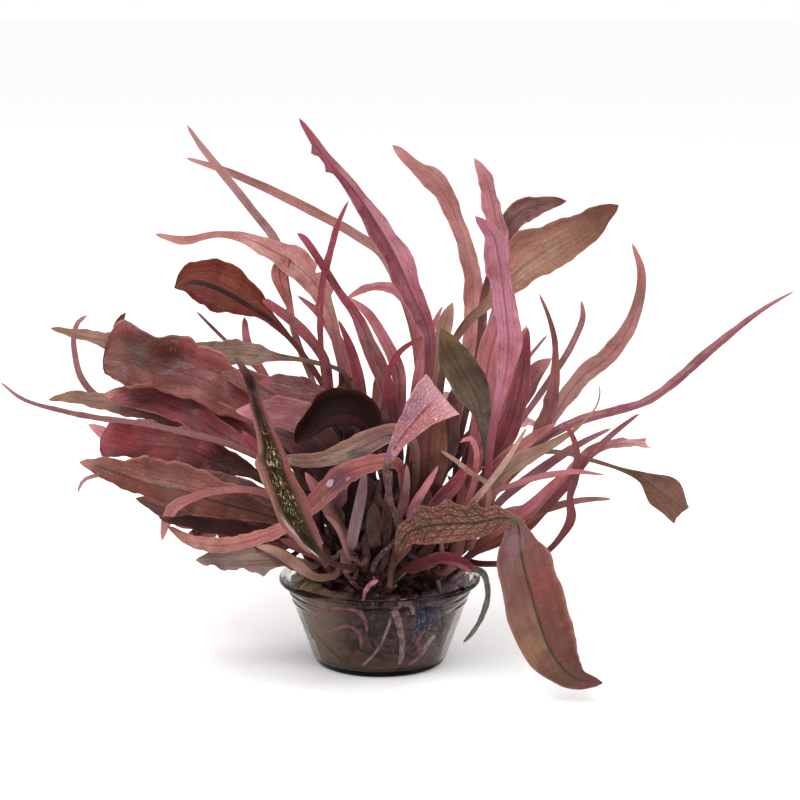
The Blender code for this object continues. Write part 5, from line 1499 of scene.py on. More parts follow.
# The back left stem carries the largest blade, the brown egg-shaped leaf and the torn salmon one.
# Two plain leaves arch away from it to the back.
dress("leaf_olive_tip_left", 0.8, body=(132, 88, 68), cloud=(92, 56, 42), crumple=0.8)
dress(
    "leaf_broad_maroon", 0.7, body=(124, 52, 52), cloud=(84, 40, 34), rim=(168, 100, 102),
    rib=(84, 36, 34), other=(138, 74, 68), dull=0.4, film=0.03, rim_from=0.78, rim_share=0.6,
    spots=(Spot(0.88, 0.45, 4.6, (74, 46, 34), 0.9), Spot(0.80, 0.1, 4.2, (88, 28, 34), 0.7),
    Spot(0.74, -0.7, 4.0, (152, 92, 80), 0.5)), crumple=1.6, curl=0.7, ruffle=0.9, wave=9.0, sides=28,
    slim=1.08, wobble=1.5, teeth=((0.88, 1, 8.0, -2.4),))
dress(
    "leaf_ovate_brown", 0.8, body=(112, 50, 38), cloud=(82, 34, 26), rim=(130, 66, 54), rib=(36, 14, 12),
    other=(104, 44, 34), dull=0.1, wet=0.0, film=0.0, shine=0.15, rib_share=1.0, rib_width=0.8,
    crumple=0.9, curl=0.4, ruffle=0.6, sides=28, teeth=((0.955, 1, 0.9, 0.9),))
dress("leaf_olive_bar", 0.8, body=(112, 78, 56), cloud=(78, 48, 36), crumple=0.6)
dress(
    "leaf_salmon_torn", 0.8, body=(170, 110, 104), cloud=(144, 82, 78), teeth=((0.60, 1, 1.6, 1.2),
    (0.64, 1, 0.8, -1.4)), crumple=0.8, sides=24)
dress("leaf_slender_top_left", 0.8, body=(158, 116, 114), slim=0.85)
dress("leaf_back_tall", 1.0)
dress("leaf_back_left", 1.0)


# The front stem's leaves are the nearest and the sharpest. The first is folded along its midrib like
# a channel. It is dark olive inside, wet, and pink along both margins.
# Its left margin is painted lighter than its right, as its lit side, with a painted highlight streak, and its
# channel carries painted wet glints.
dress(
    "leaf_front_folded", 0.4, body=(58, 43, 18), cloud=(34, 22, 10), rim=(150, 96, 92), rib=(30, 22, 12),
    vein=(30, 21, 13), stalk=(84, 46, 42), tip=(140, 100, 108), under=(116, 76, 68),
    left_rim=(190, 140, 128), wet=0.15, veins=6, rough=0.45, rim_from=0.36, rim_share=0.95, glints=0.9,
    relief=2.2, shine=0.14, dull=0.0, film=0.0, bands=(Band(0.74, 0.80, (98, 62, 60), (84, 52, 48)),
    Band(0.34, 0.27, (98, 46, 42), (84, 38, 34))), ruffle=0.25, wave=5.0, crumple=0.4, curl=0.6, sides=36,
    slim=0.98, wobble=1.6, teeth=((0.715, -1, 1.8, 0.7), (0.40, 1, 6.0, 0.5)))
# The low arc's two small pale spots on its purple patch are painted highlights.
dress(
    "leaf_low_arc", 0.6, body=(160, 82, 78), cloud=(124, 52, 52), rim=(184, 122, 114), rib=(112, 44, 44),
    stalk=(104, 44, 48), tip=(150, 100, 84), wet=0.15, film=0.06,
    bands=(Band(0.72, 0.84, (160, 98, 82), (138, 84, 66)),),
    spots=(Spot(0.545, -0.1, 2.0, (100, 50, 72), 0.75), Spot(0.565, 0.3, 0.6, (228, 190, 200), 0.8),
    Spot(0.53, -0.5, 0.5, (206, 150, 176), 0.7)), ruffle=0.6, wave=3.2, sides=24)
# The cut pink leaf's pale specks and its two small violet spots by the neck are painted highlights.
dress(
    "leaf_cut_pink", 0.4, body=(176, 108, 110), cloud=(152, 82, 88), rim=(206, 154, 158),
    rib=(118, 30, 44), vein=(116, 46, 58), stalk=(72, 34, 38), tip=(192, 138, 146),
    bands=(Band(-0.2, -0.1, (78, 38, 42), (78, 38, 42)),
    Band(0.66, 0.72, (172, 104, 106), (152, 98, 118))), veins=5, wet=0.6, film=0.04, speckle=0.5,
    rough=0.36, net=0.35, fine_net=1.6, relief=2.0, dull=0.0, rim_from=0.9, rib_share=1.0,
    spots=(Spot(0.71, 0.2, 0.6, (170, 146, 200), 0.5), Spot(0.69, -0.5, 0.6, (120, 84, 140), 0.5)),
    ruffle=0.35, wave=4.0, crumple=0.45, curl=0.1, cut=True, sides=36)
dress(
    "leaf_brown_lip", 0.6, body=(142, 104, 90), cloud=(112, 74, 64), rim=(172, 126, 110),
    rib=(48, 26, 22), vein=(84, 50, 42), stalk=(80, 40, 36), tip=(160, 124, 108), other=(96, 62, 54),
    wet=0.08, film=0.06, relief=1.6, rim_share=0.6, rim_from=0.7,
    spots=(Spot(0.77, -0.6, 2.0, (60, 38, 38), 0.8), Spot(0.82, 0.3, 1.6, (120, 104, 78), 0.4),
    Spot(0.70, 0.3, 2.2, (140, 92, 100), 0.5)), ruffle=0.5, crumple=0.6, curl=0.6, sides=24)
# The dark cupped leaf makes a pocket of shade. Its near-black colour is painted shade over its own dark
# maroon.
dress(
    "leaf_dark_cupped", 0.6, body=(26, 10, 9), cloud=(14, 5, 5), rim=(46, 20, 19), rib=(20, 8, 8),
    vein=(50, 22, 20), tip=(46, 18, 18), under=(40, 16, 16), other=(52, 20, 20), wet=0.0, film=0.0,
    rough=0.75, shine=0.12, dull=0.0, rim_from=0.8, crumple=1.2, curl=0.8, sides=24, wobble=1.5,
    ruffle=0.4, wave=6.0)
dress(
    "leaf_rusty_hanging", 0.4, body=(140, 84, 66), cloud=(94, 52, 40), rim=(168, 116, 104),
    rib=(38, 34, 18), vein=(40, 20, 14), stalk=(78, 44, 36), tip=(88, 46, 38), under=(124, 78, 68),
    other=(136, 88, 72), net=0.75, fine_net=1.9, cross=1.0, rib_width=0.38, rib_share=0.85, veins=3,
    net_end=0.53, wet=0.1, film=0.0, line_width=0.6, line_share=0.7, relief=1.8, rim_share=0.3, dull=0.3,
    bands=(Band(0.50, 0.55, (108, 70, 74), (118, 74, 74)), Band(0.58, 0.68, (112, 74, 64), (116, 52, 48)),
    Band(0.70, 0.82, (128, 96, 70), (92, 40, 34)), Band(0.82, 0.92, (80, 40, 30), (76, 34, 28))),
    spots=(Spot(0.535, 0.0, 0.6, (76, 82, 50), 0.8), Spot(0.60, 0.3, 1.8, (130, 92, 102), 0.4)),
    ruffle=0.35, wave=5.0, crumple=0.5, quilt=0.14, sides=36, wobble=0.6, teeth=((0.585, 1, 8.0, 1.1),
    (0.85, -1, 12.0, 0.5), (0.62, -1, 6.0, 1.1), (0.33, -1, 2.2, 1.1), (0.39, -1, 2.0, 1.0),
    (0.45, -1, 1.8, 0.8), (0.50, -1, 1.6, 0.7)))


# The right stem's leaves fan out to the right: the long arched one, the purple strap, and thin reeds.
# They stand on long narrow stalks, and the olive one is upright beside the strap.
dress(
    "leaf_olive_upright", 0.6, body=(92, 74, 58), cloud=(58, 42, 32), rim=(118, 92, 74), rib=(64, 50, 36),
    stalk=(46, 32, 26), bands=(Band(0.30, 0.50, (84, 70, 54), (98, 80, 60)),
    Band(0.80, 0.92, (98, 86, 46), (92, 74, 42))), relief=1.5, wet=0.3, dull=0.5, film=0.0,
    spots=(Spot(0.62, 0.1, 3.4, (116, 104, 92), 0.5),), crumple=1.0)
dress("leaf_short_rose", 0.9, body=(152, 84, 90), cloud=(124, 60, 66), slim=0.75)
dress(
    "leaf_inner_bronze", 0.8, body=(100, 56, 38), cloud=(78, 40, 28), rim=(126, 78, 60),
    other=(108, 46, 48), film=0.0, crumple=0.9)
dress(
    "leaf_purple_strap", 0.6, body=(158, 88, 102), cloud=(134, 62, 78), rim=(176, 116, 130),
    rib=(124, 56, 74), stalk=(116, 50, 62), pale=(170, 108, 126),
    bands=(Band(0.30, 0.55, (150, 72, 76), (142, 68, 72)),), dull=0.1, film=0.02, rim_share=0.3,
    crumple=0.7, ruffle=0.5, wobble=1.8)
# The front reed's pale specks are painted highlights.
dress(
    "leaf_front_reed", 0.6, body=(172, 132, 124), cloud=(132, 84, 80), rim=(214, 190, 184), wet=0.7,
    rim_from=0.5, rim_share=0.6, speckle=0.5, slim=0.8)
dress("leaf_thin_right", 0.9, body=(124, 62, 66))
dress("leaf_wavy_stem", 0.9, body=(116, 58, 64), cloud=(88, 40, 46))
dress(
    "leaf_tan_hook", 0.8, body=(146, 112, 88), cloud=(112, 82, 60), rim=(168, 132, 108),
    tip=(150, 126, 112), teeth=((0.86, 1, 16.0, -0.34), (0.86, -1, 16.0, -0.34)))
dress(
    "leaf_long_right", 0.8, body=(134, 72, 80), cloud=(106, 48, 56), rib=(92, 40, 48),
    other=(150, 92, 98), dull=0.15, film=0.02, crumple=0.3, ruffle=0.2, wobble=0.4, slim=0.86)


# The back right stem carries the tall rose leaves, the bronze blade, and the spoon on its thin stalk.
# The spoon and the small pink leaf were cut off at their ends.
dress(
    "leaf_rose_tall", 0.8, body=(174, 116, 108), cloud=(152, 88, 86), rib=(140, 80, 76),
    other=(164, 102, 100), crumple=0.8, ruffle=0.6, wobble=1.6)
dress("leaf_rose_upright", 0.8, body=(166, 106, 110), cloud=(140, 74, 78), rib=(138, 70, 76), crumple=0.7)
dress(
    "leaf_bronze_blade", 0.7, body=(146, 108, 90), cloud=(120, 78, 62), rim=(158, 112, 98),
    rib=(100, 82, 54), stalk=(84, 48, 40), other=(156, 108, 94), veins=4, rim_share=0.3, film=0.0,
    bands=(Band(0.82, 0.95, (96, 60, 48), (104, 68, 54)),), crumple=0.8, curl=0.3, sides=28)
dress("leaf_dark_blade", 0.8, body=(104, 50, 42), cloud=(80, 36, 30), film=0.05)
dress("leaf_salmon_stemmed", 0.9, like="rose", body=(148, 90, 88), cloud=(122, 64, 64))
dress(
    "leaf_crimson_diagonal", 0.9, like="rose", body=(148, 86, 86), cloud=(116, 56, 58),
    rim=(170, 116, 114), crumple=0.8)
dress(
    "leaf_curved_right", 0.9, body=(150, 110, 94), cloud=(128, 92, 76),
    bands=(Band(0.55, 0.75, (160, 96, 96), (150, 88, 86)),), crumple=0.5, ruffle=0.3)
dress("leaf_cut_pink_right", 0.9, body=(176, 112, 118), cut=True)
dress(
    "leaf_spoon", 0.8, body=(108, 62, 34), cloud=(78, 42, 24), rim=(112, 74, 54), stalk=(122, 122, 108),
    film=0.04, dull=0.1, cut=True, crumple=0.3, ruffle=0.1, wobble=0.3, teeth=((0.93, -1, 5.5, 1.1),
    (0.90, 1, 5.0, 0.6)))
dress("leaf_faint_right", 1.0)
dress("leaf_back_upright", 1.0)
dress("leaf_back_right", 1.0)


# Between the full-grown leaves stand thin shoots, curled stalks and young leaves. The ones that show
# well are listed one by one, and are settled against the leaves above, which keep still.
SHOOTS = [
    # left side
    Leaf("curled_stalk_left", "crown_back_left", "mauve", 20, 0, 0.2, [
        (-12, 31, -14, 1.2), (-24, 41, -20, 1.4), (-38, 47, -25, 1.5), (-50, 50, -28, 1.5),
        (-57, 52.4, -30, 1.4), (-59.6, 55.4, -31, 1.4), (-61, 60.4, -32, 1.2), (-61, 65.4, -32, 1),
        (-60, 67.4, -32, 0.9), (-58.4, 68.4, -32, 0.6)]),
    Leaf("upright_tip_left", "crown_back_left", "brown", 20, 0, 0.4, [
        (-12, 33, -18, 1.2), (-25, 45, -26, 1.6), (-38, 55, -30, 2.4), (-46, 60, -32, 2.6),
        (-51, 63, -33, 2.6), (-52.4, 66, -34, 2.1), (-50.8, 69, -34, 0.6)]),
    Leaf("thin_hook_left", "crown_left", "mauve", 30, 0, 0.2, [
        (-17, 26, -4, 1.1), (-30, 30, -3, 1), (-44, 33, -2, 0.9), (-52, 35.4, 0, 0.9),
        (-57, 36.2, 3, 0.9), (-59.6, 35, 4, 0.8), (-60.4, 32.6, 4, 0.5)]),
    Leaf("inner_crimson_left", "crown_left", "crimson", 25, 0, 0.3, [
        (-15, 31, -8, 1), (-24, 39.4, -11, 1.6), (-33, 45.6, -14, 4.6), (-41, 49.4, -16, 6.4),
        (-48, 51.2, -17, 5), (-54, 51.6, -18, 0.6)]),
    Leaf("lower_lobe_left", "crown_back_left", "salmon", 25, 0, 0.3, [
        (-14, 32, -12, 1.3), (-24, 42, -16, 3), (-34, 48.6, -18, 5), (-43, 51, -19, 6.4),
        (-50, 52, -20, 5), (-55.4, 52.6, -21, 0.8)]),
    Leaf("inner_rose_left", "crown_left", "rose", 25, 0, 0.3, [
        (-15, 29, -6, 1.3), (-26, 34, -9, 1.8), (-36, 37.4, -11, 3), (-46, 40, -12, 4.6),
        (-54, 44, -13, 3.4), (-58.4, 46.6, -14, 0.7)]),
    Leaf("low_brown_left", "crown_left", "brown", 25, 0, 0.3, [
        (-14, 23.6, 3, 1.3), (-24, 26.4, 5, 3), (-34, 27.4, 6, 5.6), (-42, 29.4, 5, 5.4),
        (-49, 31.8, 4, 0.8)]),
    Leaf("low_dark_left", "crown_left", "maroon", 25, 0, 0.3, [
        (-14, 21, 10, 1.3), (-22, 24, 16, 2.6), (-30, 25.6, 19, 3.8), (-38, 26.4, 20, 3),
        (-44.4, 28, 20, 0.7)]),
    Leaf("inner_maroon_left", "crown_left", "maroon", 25, 0, 0.3, [
        (-12, 24, 0, 1.3), (-20, 29, 1, 3.8), (-28, 32.4, 1, 6.4), (-36, 34.4, 0, 5.6),
        (-44, 36.2, -1, 0.8)]),
    Leaf("low_withered_left", "crown_front", "withered", 35, 0, 0.2, [
        (-11, 18.6, 16, 1.3), (-17, 19, 20, 2.6), (-23, 19.4, 22, 3.8), (-28, 19, 22, 2.6),
        (-31.4, 18.6, 21, 0.7)]),
    Leaf("low_maroon_left", "crown_left", "maroon", 20, 0, 0.3, [
        (-11, 22, 6, 1.3), (-18, 25, 8, 3.8), (-26, 26.4, 8, 6.4), (-33, 26, 7, 4.8),
        (-38.4, 24.8, 6, 0.7)]),
    Leaf("blurred_crimson_left", "crown_back_left", "crimson", 30, 0, 0.3, [
        (-11, 33, -18, 1.3), (-20, 43, -24, 2.2), (-30, 51, -28, 4.4), (-39, 57, -31, 5.6),
        (-47, 61.4, -33, 4.2), (-54, 64, -34, 0.8)]),
    Leaf("blurred_rose_left", "crown_back_left", "rose", 30, 0, 0.3, [
        (-10, 34, -22, 1.3), (-18, 44, -28, 1.8), (-26, 52.4, -33, 3.4), (-35, 58, -37, 4.4),
        (-44, 61.4, -40, 3), (-50.6, 62.6, -42, 0.7)]),
    # upper left
    Leaf("second_stalk", "crown_back_left", "crimson", 20, 0, 0.3, [
        (-7, 38, -10, 1.3), (-9, 50, -14, 1.6), (-11.6, 60, -17, 2), (-15, 64.6, -20, 2.2),
        (-20, 69, -24, 2.1), (-23.6, 71.6, -27, 1.4)]),
    Leaf("faint_stalk", "crown_back_left", "mauve", 20, 0, 0.2, [
        (-9, 36, -20, 1.1), (-16, 48, -27, 1), (-24, 57, -32, 0.9), (-31, 63.4, -36, 0.8),
        (-36.8, 69.2, -39, 0.5)]),
    Leaf("upright_pink_stalk", "crown_back_left", "rose", 10, 0, 0.2, [
        (-8, 34, -17, 1.3), (-16, 46, -23, 1.5), (-23, 56, -27, 1.7), (-26.4, 62.4, -29, 1.8),
        (-27.2, 68.4, -31, 1)]),
    # heart of the clump
    Leaf("second_thin_crimson", "crown_centre", "rose", 20, 20, 0.4, [
        (3, 36, -4, 1.4), (4, 48, -5, 2.2), (3.4, 58, -6, 2.8), (0.5, 64.4, -8, 2.3),
        (-2.6, 69, -10, 1.8), (-6.4, 72, -11, 0.6)]),
    Leaf("crossing_crimson", "crown_centre", "crimson", 20, 0, 0.3, [
        (4, 34, 5, 1.2), (2.5, 48, 8, 1.3), (1.6, 56, 9, 1.2), (4, 61, 9, 1.2), (9.4, 64.4, 9, 0.6)]),
    Leaf("tan_tip_centre", "crown_right", "tan", 15, 0, 0.3, [
        (9, 40, -8, 1), (11, 54, -12, 1.6), (12, 62, -14, 2.7), (13.4, 68, -16, 2.7),
        (14.6, 71, -17, 0.6)]),
    Leaf("heart_rose", "crown_centre", "rose", 15, 0, 0.3, [
        (4, 30, 0, 0.9), (6, 42, -1, 1.3), (7, 52, -3, 2), (8.5, 60, -4, 1.9), (11, 67, -6, 1.1),
        (12.6, 70.4, -7, 0.4)]),
    Leaf("heart_crimson", "crown_centre", "crimson", 15, 0, 0.4, [
        (-2, 32, -6, 0.9), (-3, 44, -9, 1.4), (-4, 54, -11, 2.3), (-6, 62, -13, 1.7),
        (-8.4, 67.6, -15, 0.5)]),
    Leaf("heart_salmon", "crown_centre", "salmon", 15, 0, 0.3, [
        (0, 32, -2, 0.9), (-1.6, 42, -3, 1.4), (-1, 50, -4, 2.3), (1.2, 56, -5, 1.9),
        (4, 61.4, -6, 0.5)]),
    Leaf("heart_maroon", "crown_centre", "maroon", 15, 0, 0.4, [
        (-3, 28, 3, 1.3), (-9, 36, 1, 3), (-13, 42, 0, 4.6), (-18, 45, -1, 4.4), (-24, 46.4, -3, 0.8)]),
    Leaf("heart_brown", "crown_back_left", "brown", 20, 0, 0.3, [
        (-6, 34, -8, 1.3), (-12, 44, -11, 2.6), (-19, 51, -14, 4.8), (-26, 55, -16, 4.6),
        (-32.6, 57, -18, 0.8)]),
    Leaf("heart_back_rose", "crown_back_left", "rose", 30, 0, 0.3, [
        (-4, 38, -18, 0.9), (-5, 52, -24, 1.6), (-8, 62, -28, 2.4), (-12, 68.4, -31, 1.9),
        (-16.6, 72.4, -33, 0.5)]),
    Leaf("heart_dark_left", "crown_centre", "maroon", 15, 0, 0.3, [
        (-1, 32, -8, 1.3), (-3, 38, -10, 4), (-5, 45, -12, 6), (-6.4, 52, -14, 4.6), (-8, 58, -16, 0.8)]),
    Leaf("heart_dark_middle", "crown_centre", "brown", 15, 0, 0.3, [
        (2, 32, -4, 1.3), (1.4, 38, -6, 3.4), (1, 44, -8, 4.4), (0, 50, -10, 3.4), (-1, 56, -12, 0.7)]),
    Leaf("heart_dark_right", "crown_right", "maroon", 15, 0, 0.3, [
        (10, 32, -4, 1.3), (12, 37, -6, 3.6), (13.4, 42, -8, 4.6), (14, 48, -10, 3.6),
        (14.6, 54, -12, 0.7)]),
    Leaf("pale_stalk_front", "crown_front", "mauve", 15, 0, 0.2, [
        (-5.4, 18.4, 17, 1.1), (-6.8, 22, 20, 1.2), (-8.8, 26.4, 22, 1.2), (-11.4, 28.8, 23, 0.6)]),
    Leaf("stout_stalk_front", "crown_front", "mauve", 0, 0, 0.3, [
        (-6, 17, 15, 1.8), (-6, 21.4, 18.6, 2.2), (-4.8, 27.4, 19.6, 2.3), (-3.6, 33, 19.6, 2.1),
        (-3, 37.6, 19, 0.9)]),
    Leaf("ringed_blade_front", "crown_front", "brown", 0, 0, 0.3, [
        (-1, 17.4, 13, 1.1), (1.4, 21, 15, 1.3), (2, 25.6, 16, 1.4), (1.2, 29.6, 16, 1.3),
        (-0.6, 33, 15.4, 0.5)]),
    Leaf("tan_stalk_front", "crown_front", "tan", 0, 0, 0.2, [
        (0.6, 17.6, 11, 1.1), (1.6, 22.4, 13, 1.4), (1, 28, 14.6, 1.5), (1.8, 33.8, 15, 1.3),
        (2.4, 37.4, 15, 0.6)]),
    Leaf("mauve_stalk_front", "crown_front", "mauve", 0, 0, 0.2, [
        (2.6, 18, 15, 1.3), (4, 25.4, 18, 1.8), (5, 32, 19.6, 1.8), (5.8, 38.8, 20.4, 0.7)]),
    Leaf("low_dark_front_left", "crown_front", "maroon", 10, 0, 0.3, [
        (-8, 17.4, 14, 1.2), (-12.4, 19.8, 17, 2.2), (-16, 22.2, 18, 2.6), (-20.4, 23.6, 18, 0.7)]),
    Leaf("low_olive_front_left", "crown_left", "olive", 20, 0, 0.3, [
        (-14, 17.4, 13, 1.2), (-18, 19, 16, 3), (-22, 21.4, 17, 3.4), (-26.4, 23.6, 17, 0.6)]),
    Leaf("low_maroon_front_left", "crown_left", "maroon", 20, 0, 0.3, [
        (-13, 20, 8, 1.3), (-18, 21.8, 10, 3.6), (-24, 22.8, 10, 4.8), (-30, 23, 9, 3.4),
        (-35, 23, 8, 0.7)]),
    Leaf("tan_stalk_low_left", "crown_front", "tan", 20, 0, 0.2, [
        (-9, 16.6, 17, 1.3), (-12.6, 15.8, 20, 1.8), (-17, 18.6, 22, 2.2), (-21, 21, 22, 2),
        (-25, 22, 21, 0.7)]),
    Leaf("low_brown_front", "crown_front", "maroon", 0, 0, 0.3, [
        (-2.4, 16.8, 12, 1.2), (-3, 20.4, 13, 1.5), (-2, 25, 14, 1.7), (-0.4, 31, 14, 1.4),
        (0, 36, 13, 0.6)]),
    Leaf("low_brown_front_right", "crown_front", "brown", 10, 0, 0.3, [
        (6, 17, 10, 1.2), (9, 20.4, 12, 1.6), (11, 26, 14, 3.2), (12.4, 31, 14, 3.4), (13, 36, 13, 0.7)]),
    Leaf("low_maroon_front_right", "crown_right", "maroon", 10, 0, 0.3, [
        (12, 18, 12, 1.3), (14.4, 22, 15, 3), (15.6, 27, 16, 3.4), (16, 32, 15, 2.2),
        (16.6, 36, 15, 0.7)]),
    Leaf("low_rose_front", "crown_front", "rose", 20, 0, 0.4, [
        (7, 17.6, 15, 1.2), (9.4, 18.4, 19, 1.9), (12, 19.6, 21, 2), (16, 18.4, 22, 1.4),
        (18.6, 16.4, 22, 0.6)]),
    # right side
    Leaf("rose_behind_strap", "crown_right", "rose", 10, 0, 0.3, [
        (15, 28, 2, 1.3), (19, 42, 2, 2.2), (20.6, 52, 1, 4.2), (22, 60, 0, 5), (23.6, 67, -1, 4),
        (24, 72.4, -2, 0.8)]),
    Leaf("inner_crimson_right", "crown_right", "crimson", 15, 0, 0.3, [
        (17, 28, 0, 1.3), (22, 38, 0, 2.4), (26, 46, -1, 4), (28, 53, -2, 4), (29, 60, -3, 2.4),
        (29.6, 66, -4, 0.7)]),
    Leaf("inner_rose_right", "crown_back_right", "rose", 15, 0, 0.3, [
        (16, 30, -6, 1.3), (20, 42, -8, 2.6), (24, 52, -10, 3.6), (27, 60, -12, 2.4),
        (29.4, 66.4, -13, 0.7)]),
    Leaf("inner_salmon_right", "crown_right", "salmon", 20, 0, 0.3, [
        (15, 26, 4, 1.2), (20, 34, 5, 2.2), (26, 40, 5, 3), (31, 44, 4, 2.2), (35.4, 46.8, 3, 0.7)]),
    Leaf("inner_mauve_right", "crown_back_right", "mauve", 20, 0, 0.3, [
        (17, 24, -6, 1.2), (25, 32, -9, 1.8), (33, 38, -12, 2), (40, 42.6, -14, 1.4),
        (46.4, 45.8, -16, 0.6)]),
    Leaf("faint_stalk_right", "crown_back_right", "mauve", 20, 0, 0.2, [
        (14, 32, -12, 1.1), (19, 44, -16, 1), (24, 52.4, -19, 0.9), (29, 59, -22, 0.8),
        (33.6, 64.6, -24, 0.5)]),
    Leaf("crossing_tan_stalk", "crown_right", "tan", 10, 0, 0.2, [
        (17, 22, 14, 1.1), (21.4, 29, 19, 1.1), (21.2, 34.8, 21, 1), (17, 38, 22.4, 1),
        (12, 41.4, 23, 0.6)]),
    Leaf("pink_curl", "crown_right", "rose", 10, 0, 0.3, [
        (14, 24, 14, 1.2), (17.6, 31, 19, 1.3), (18.8, 36.4, 21, 1.2), (19.2, 41.4, 22, 1.2),
        (17.8, 43.8, 23, 1.1), (15.8, 42.8, 23.6, 0.6)]),
    Leaf("red_slant_front", "crown_front", "crimson", 10, 0, 0.4, [
        (7, 22, 14, 1.3), (11, 30, 19, 2.8), (14.5, 33.8, 20, 3), (18, 36.6, 20.6, 1.8),
        (20.4, 38, 20.8, 0.6)]),
    Leaf("small_red_arch", "crown_front", "crimson", 20, 0, 0.4, [
        (4, 18.4, 15, 1.2), (9.6, 19, 20, 2), (13.6, 19.8, 22, 2.1), (17.6, 18.6, 23, 1.2),
        (19.4, 17.4, 23, 0.5)]),
    Leaf("brown_stalk_low_right", "crown_right", "brown", 20, 0, 0.2, [
        (14, 18.8, 14, 1.2), (20, 21.4, 16, 1.4), (27, 25.4, 17, 1.3), (33, 29, 17, 0.6)]),
    Leaf("low_rose_right", "crown_right", "rose", 20, 0, 0.3, [
        (16, 20, 10, 1.2), (22, 24, 12, 1.8), (28, 28.6, 13, 2.2), (34, 33.4, 13, 1.6),
        (38.6, 37.4, 13, 0.6)]),
    Leaf("low_mauve_right", "crown_back_right", "mauve", 20, 0, 0.3, [
        (17, 22, -10, 1.2), (25, 26.4, -13, 1.6), (33, 29.4, -16, 1.8), (41, 31.4, -18, 1.2),
        (46.4, 31.6, -20, 0.6)]),
]
YOUNG_PER_CROWN = 8
YOUNG_TINTS = ("crimson", "mauve", "maroon", "rose", "brown", "salmon")
SHOOT_ROUNDS = 50
SHOOT_FOOT = 6.9
SHOOT_PITCH = 1.2
SHOOT_SIDES = 16
YOUNG_PLACES = 30
YOUNG_SIDES = 12


def shoot_knots(shoot):
    """A shoot's knots, with its foot put on the upper part of its stem."""
    right, near = CROWNS[shoot.crown]
    knots = [placed(*place) for place in shoot.route]
    outward = unit(knots[0][:2] - np.array([right, -near]))
    foot = np.array([right + 2.2 * outward[0], -near + 2.2 * outward[1], CROWN_FOOT + SHOOT_FOOT, 1.1])
    return [foot, foot + np.array([*(0.9 * outward), 1.6, 0.0]), *knots]


def young_knots(crown, number):
    """One young leaf of a rosette. The young leaves fan out evenly, the later ones shorter and steeper."""
    right, near = CROWNS[crown]
    turn = number * 2.4 + right
    outward = np.array([cos(turn), sin(turn), 0.0])
    length = 34.0 - 2.2 * number + 3.0 * sin(5.0 * turn)
    slant = 0.55 - 0.04 * number
    width = 1.6 + 1.3 * abs(sin(3.0 * turn))
    foot = np.array([right, -near, CROWN_FOOT + SHOOT_FOOT]) + 2.0 * outward
    knots = [np.append(foot, 1.1)]
    for share, swell in ((0.15, 0.6), (0.4, 0.8), (0.65, 1.0), (0.85, 0.8), (1.0, 0.3)):
        sag = 5.0 * share**2 * slant
        place = foot + length * share * (slant * outward + (1 - 0.5 * slant) * UP) - sag * UP
        knots.append(np.append(place, swell * width))
    return knots


YOUNG = [
    Leaf(f"young_leaf_{crown.removeprefix('crown_')}_{number + 1}", crown,
         YOUNG_TINTS[(number + at) % len(YOUNG_TINTS)], 35, 0, 0.35, young_knots(crown, number))
    for at, crown in enumerate(CROWNS) for number in range(YOUNG_PER_CROWN)]


def shoot_routes():
    """Where each shoot and young leaf lies once they have settled against the still leaves."""
    knots = [shoot_knots(shoot) for shoot in SHOOTS] + [leaf.route for leaf in YOUNG]
    routes = np.array([smooth_route(each, SETTLE_PLACES) for each in knots])
    routes = np.concatenate([np.array(list(ROUTES.values())), routes])
    settled = settle(routes, LEAVES + SHOOTS + YOUNG, SHOOT_ROUNDS, len(LEAVES))
    return dict(zip([leaf.name for leaf in SHOOTS + YOUNG], settled[len(LEAVES):]))


SHOOT_ROUTES = shoot_routes()
SHOOT_FINISHES = {
    tint: leaf_finish("skin_of_" + tint + "_shoots", skin, 3.3, 40.0, veins=2, film=0.04)
    for tint, skin in SKINS.items()}
# The low dark leaf on the left lies in a hollow. Its near-black skin is partly painted shade and partly its
# own dark maroon.
DARK_SHADED_SKIN = SKINS["maroon"]._replace(
    body=(52, 26, 22), cloud=(30, 13, 11), rim=(100, 58, 50), under=(70, 38, 32))
SHOOT_FINISHES["low_dark_left"] = leaf_finish(
    "skin_of_low_dark_leaf", DARK_SHADED_SKIN, 2.2, 30.0, wet=0.0, shine=0.12, rough=0.7, film=0.0)
SHOOT_FINISHES["stout_stalk_front"] = leaf_finish("skin_of_stout_stalk", LILAC, 1.1, 30.0, veins=2)
for number, shoot in enumerate(SHOOTS):
    shoot_route = SHOOT_ROUTES[shoot.name]
    shoot_places = int(length_of(shoot_route) / SHOOT_PITCH) + 2
    shoot_lie = clasped(shoot, *fine_lie(shoot, shoot_route, shoot_places))
    shoot_finish = SHOOT_FINISHES.get(shoot.name, SHOOT_FINISHES[shoot.tint])
    shoot_shape = leaf_shape(*shoot_lie, shoot.fold, 1.3 * number, sides=SHOOT_SIDES)
    add_piece(shoot.name, shoot_shape, shoot_finish, "leaf_" + shoot.tint)


# A torn lobe of the salmon leaf hangs from its lower margin. It is a narrow strip of the same thin
# soft blade.
LOBE = Leaf("torn_lobe", "crown_back_left", "salmon", 35, 0, 0.3, [
    (-18.6, 80, -29, 1.6), (-20, 77.4, -28.6, 3.2), (-19.4, 73.4, -28, 2.3), (-18, 69.8, -27.4, 1.3),
    (-17.2, 67.2, -27, 0.5)])
lobe_route = smooth_route([placed(*place) for place in LOBE.route], SETTLE_PLACES)
lobe_shape = leaf_shape(*fine_lie(LOBE, lobe_route, YOUNG_PLACES), LOBE.fold, 4.0, sides=SHOOT_SIDES)
add_piece(LOBE.name, lobe_shape, SHOOT_FINISHES[LOBE.tint], "leaf_" + LOBE.tint)


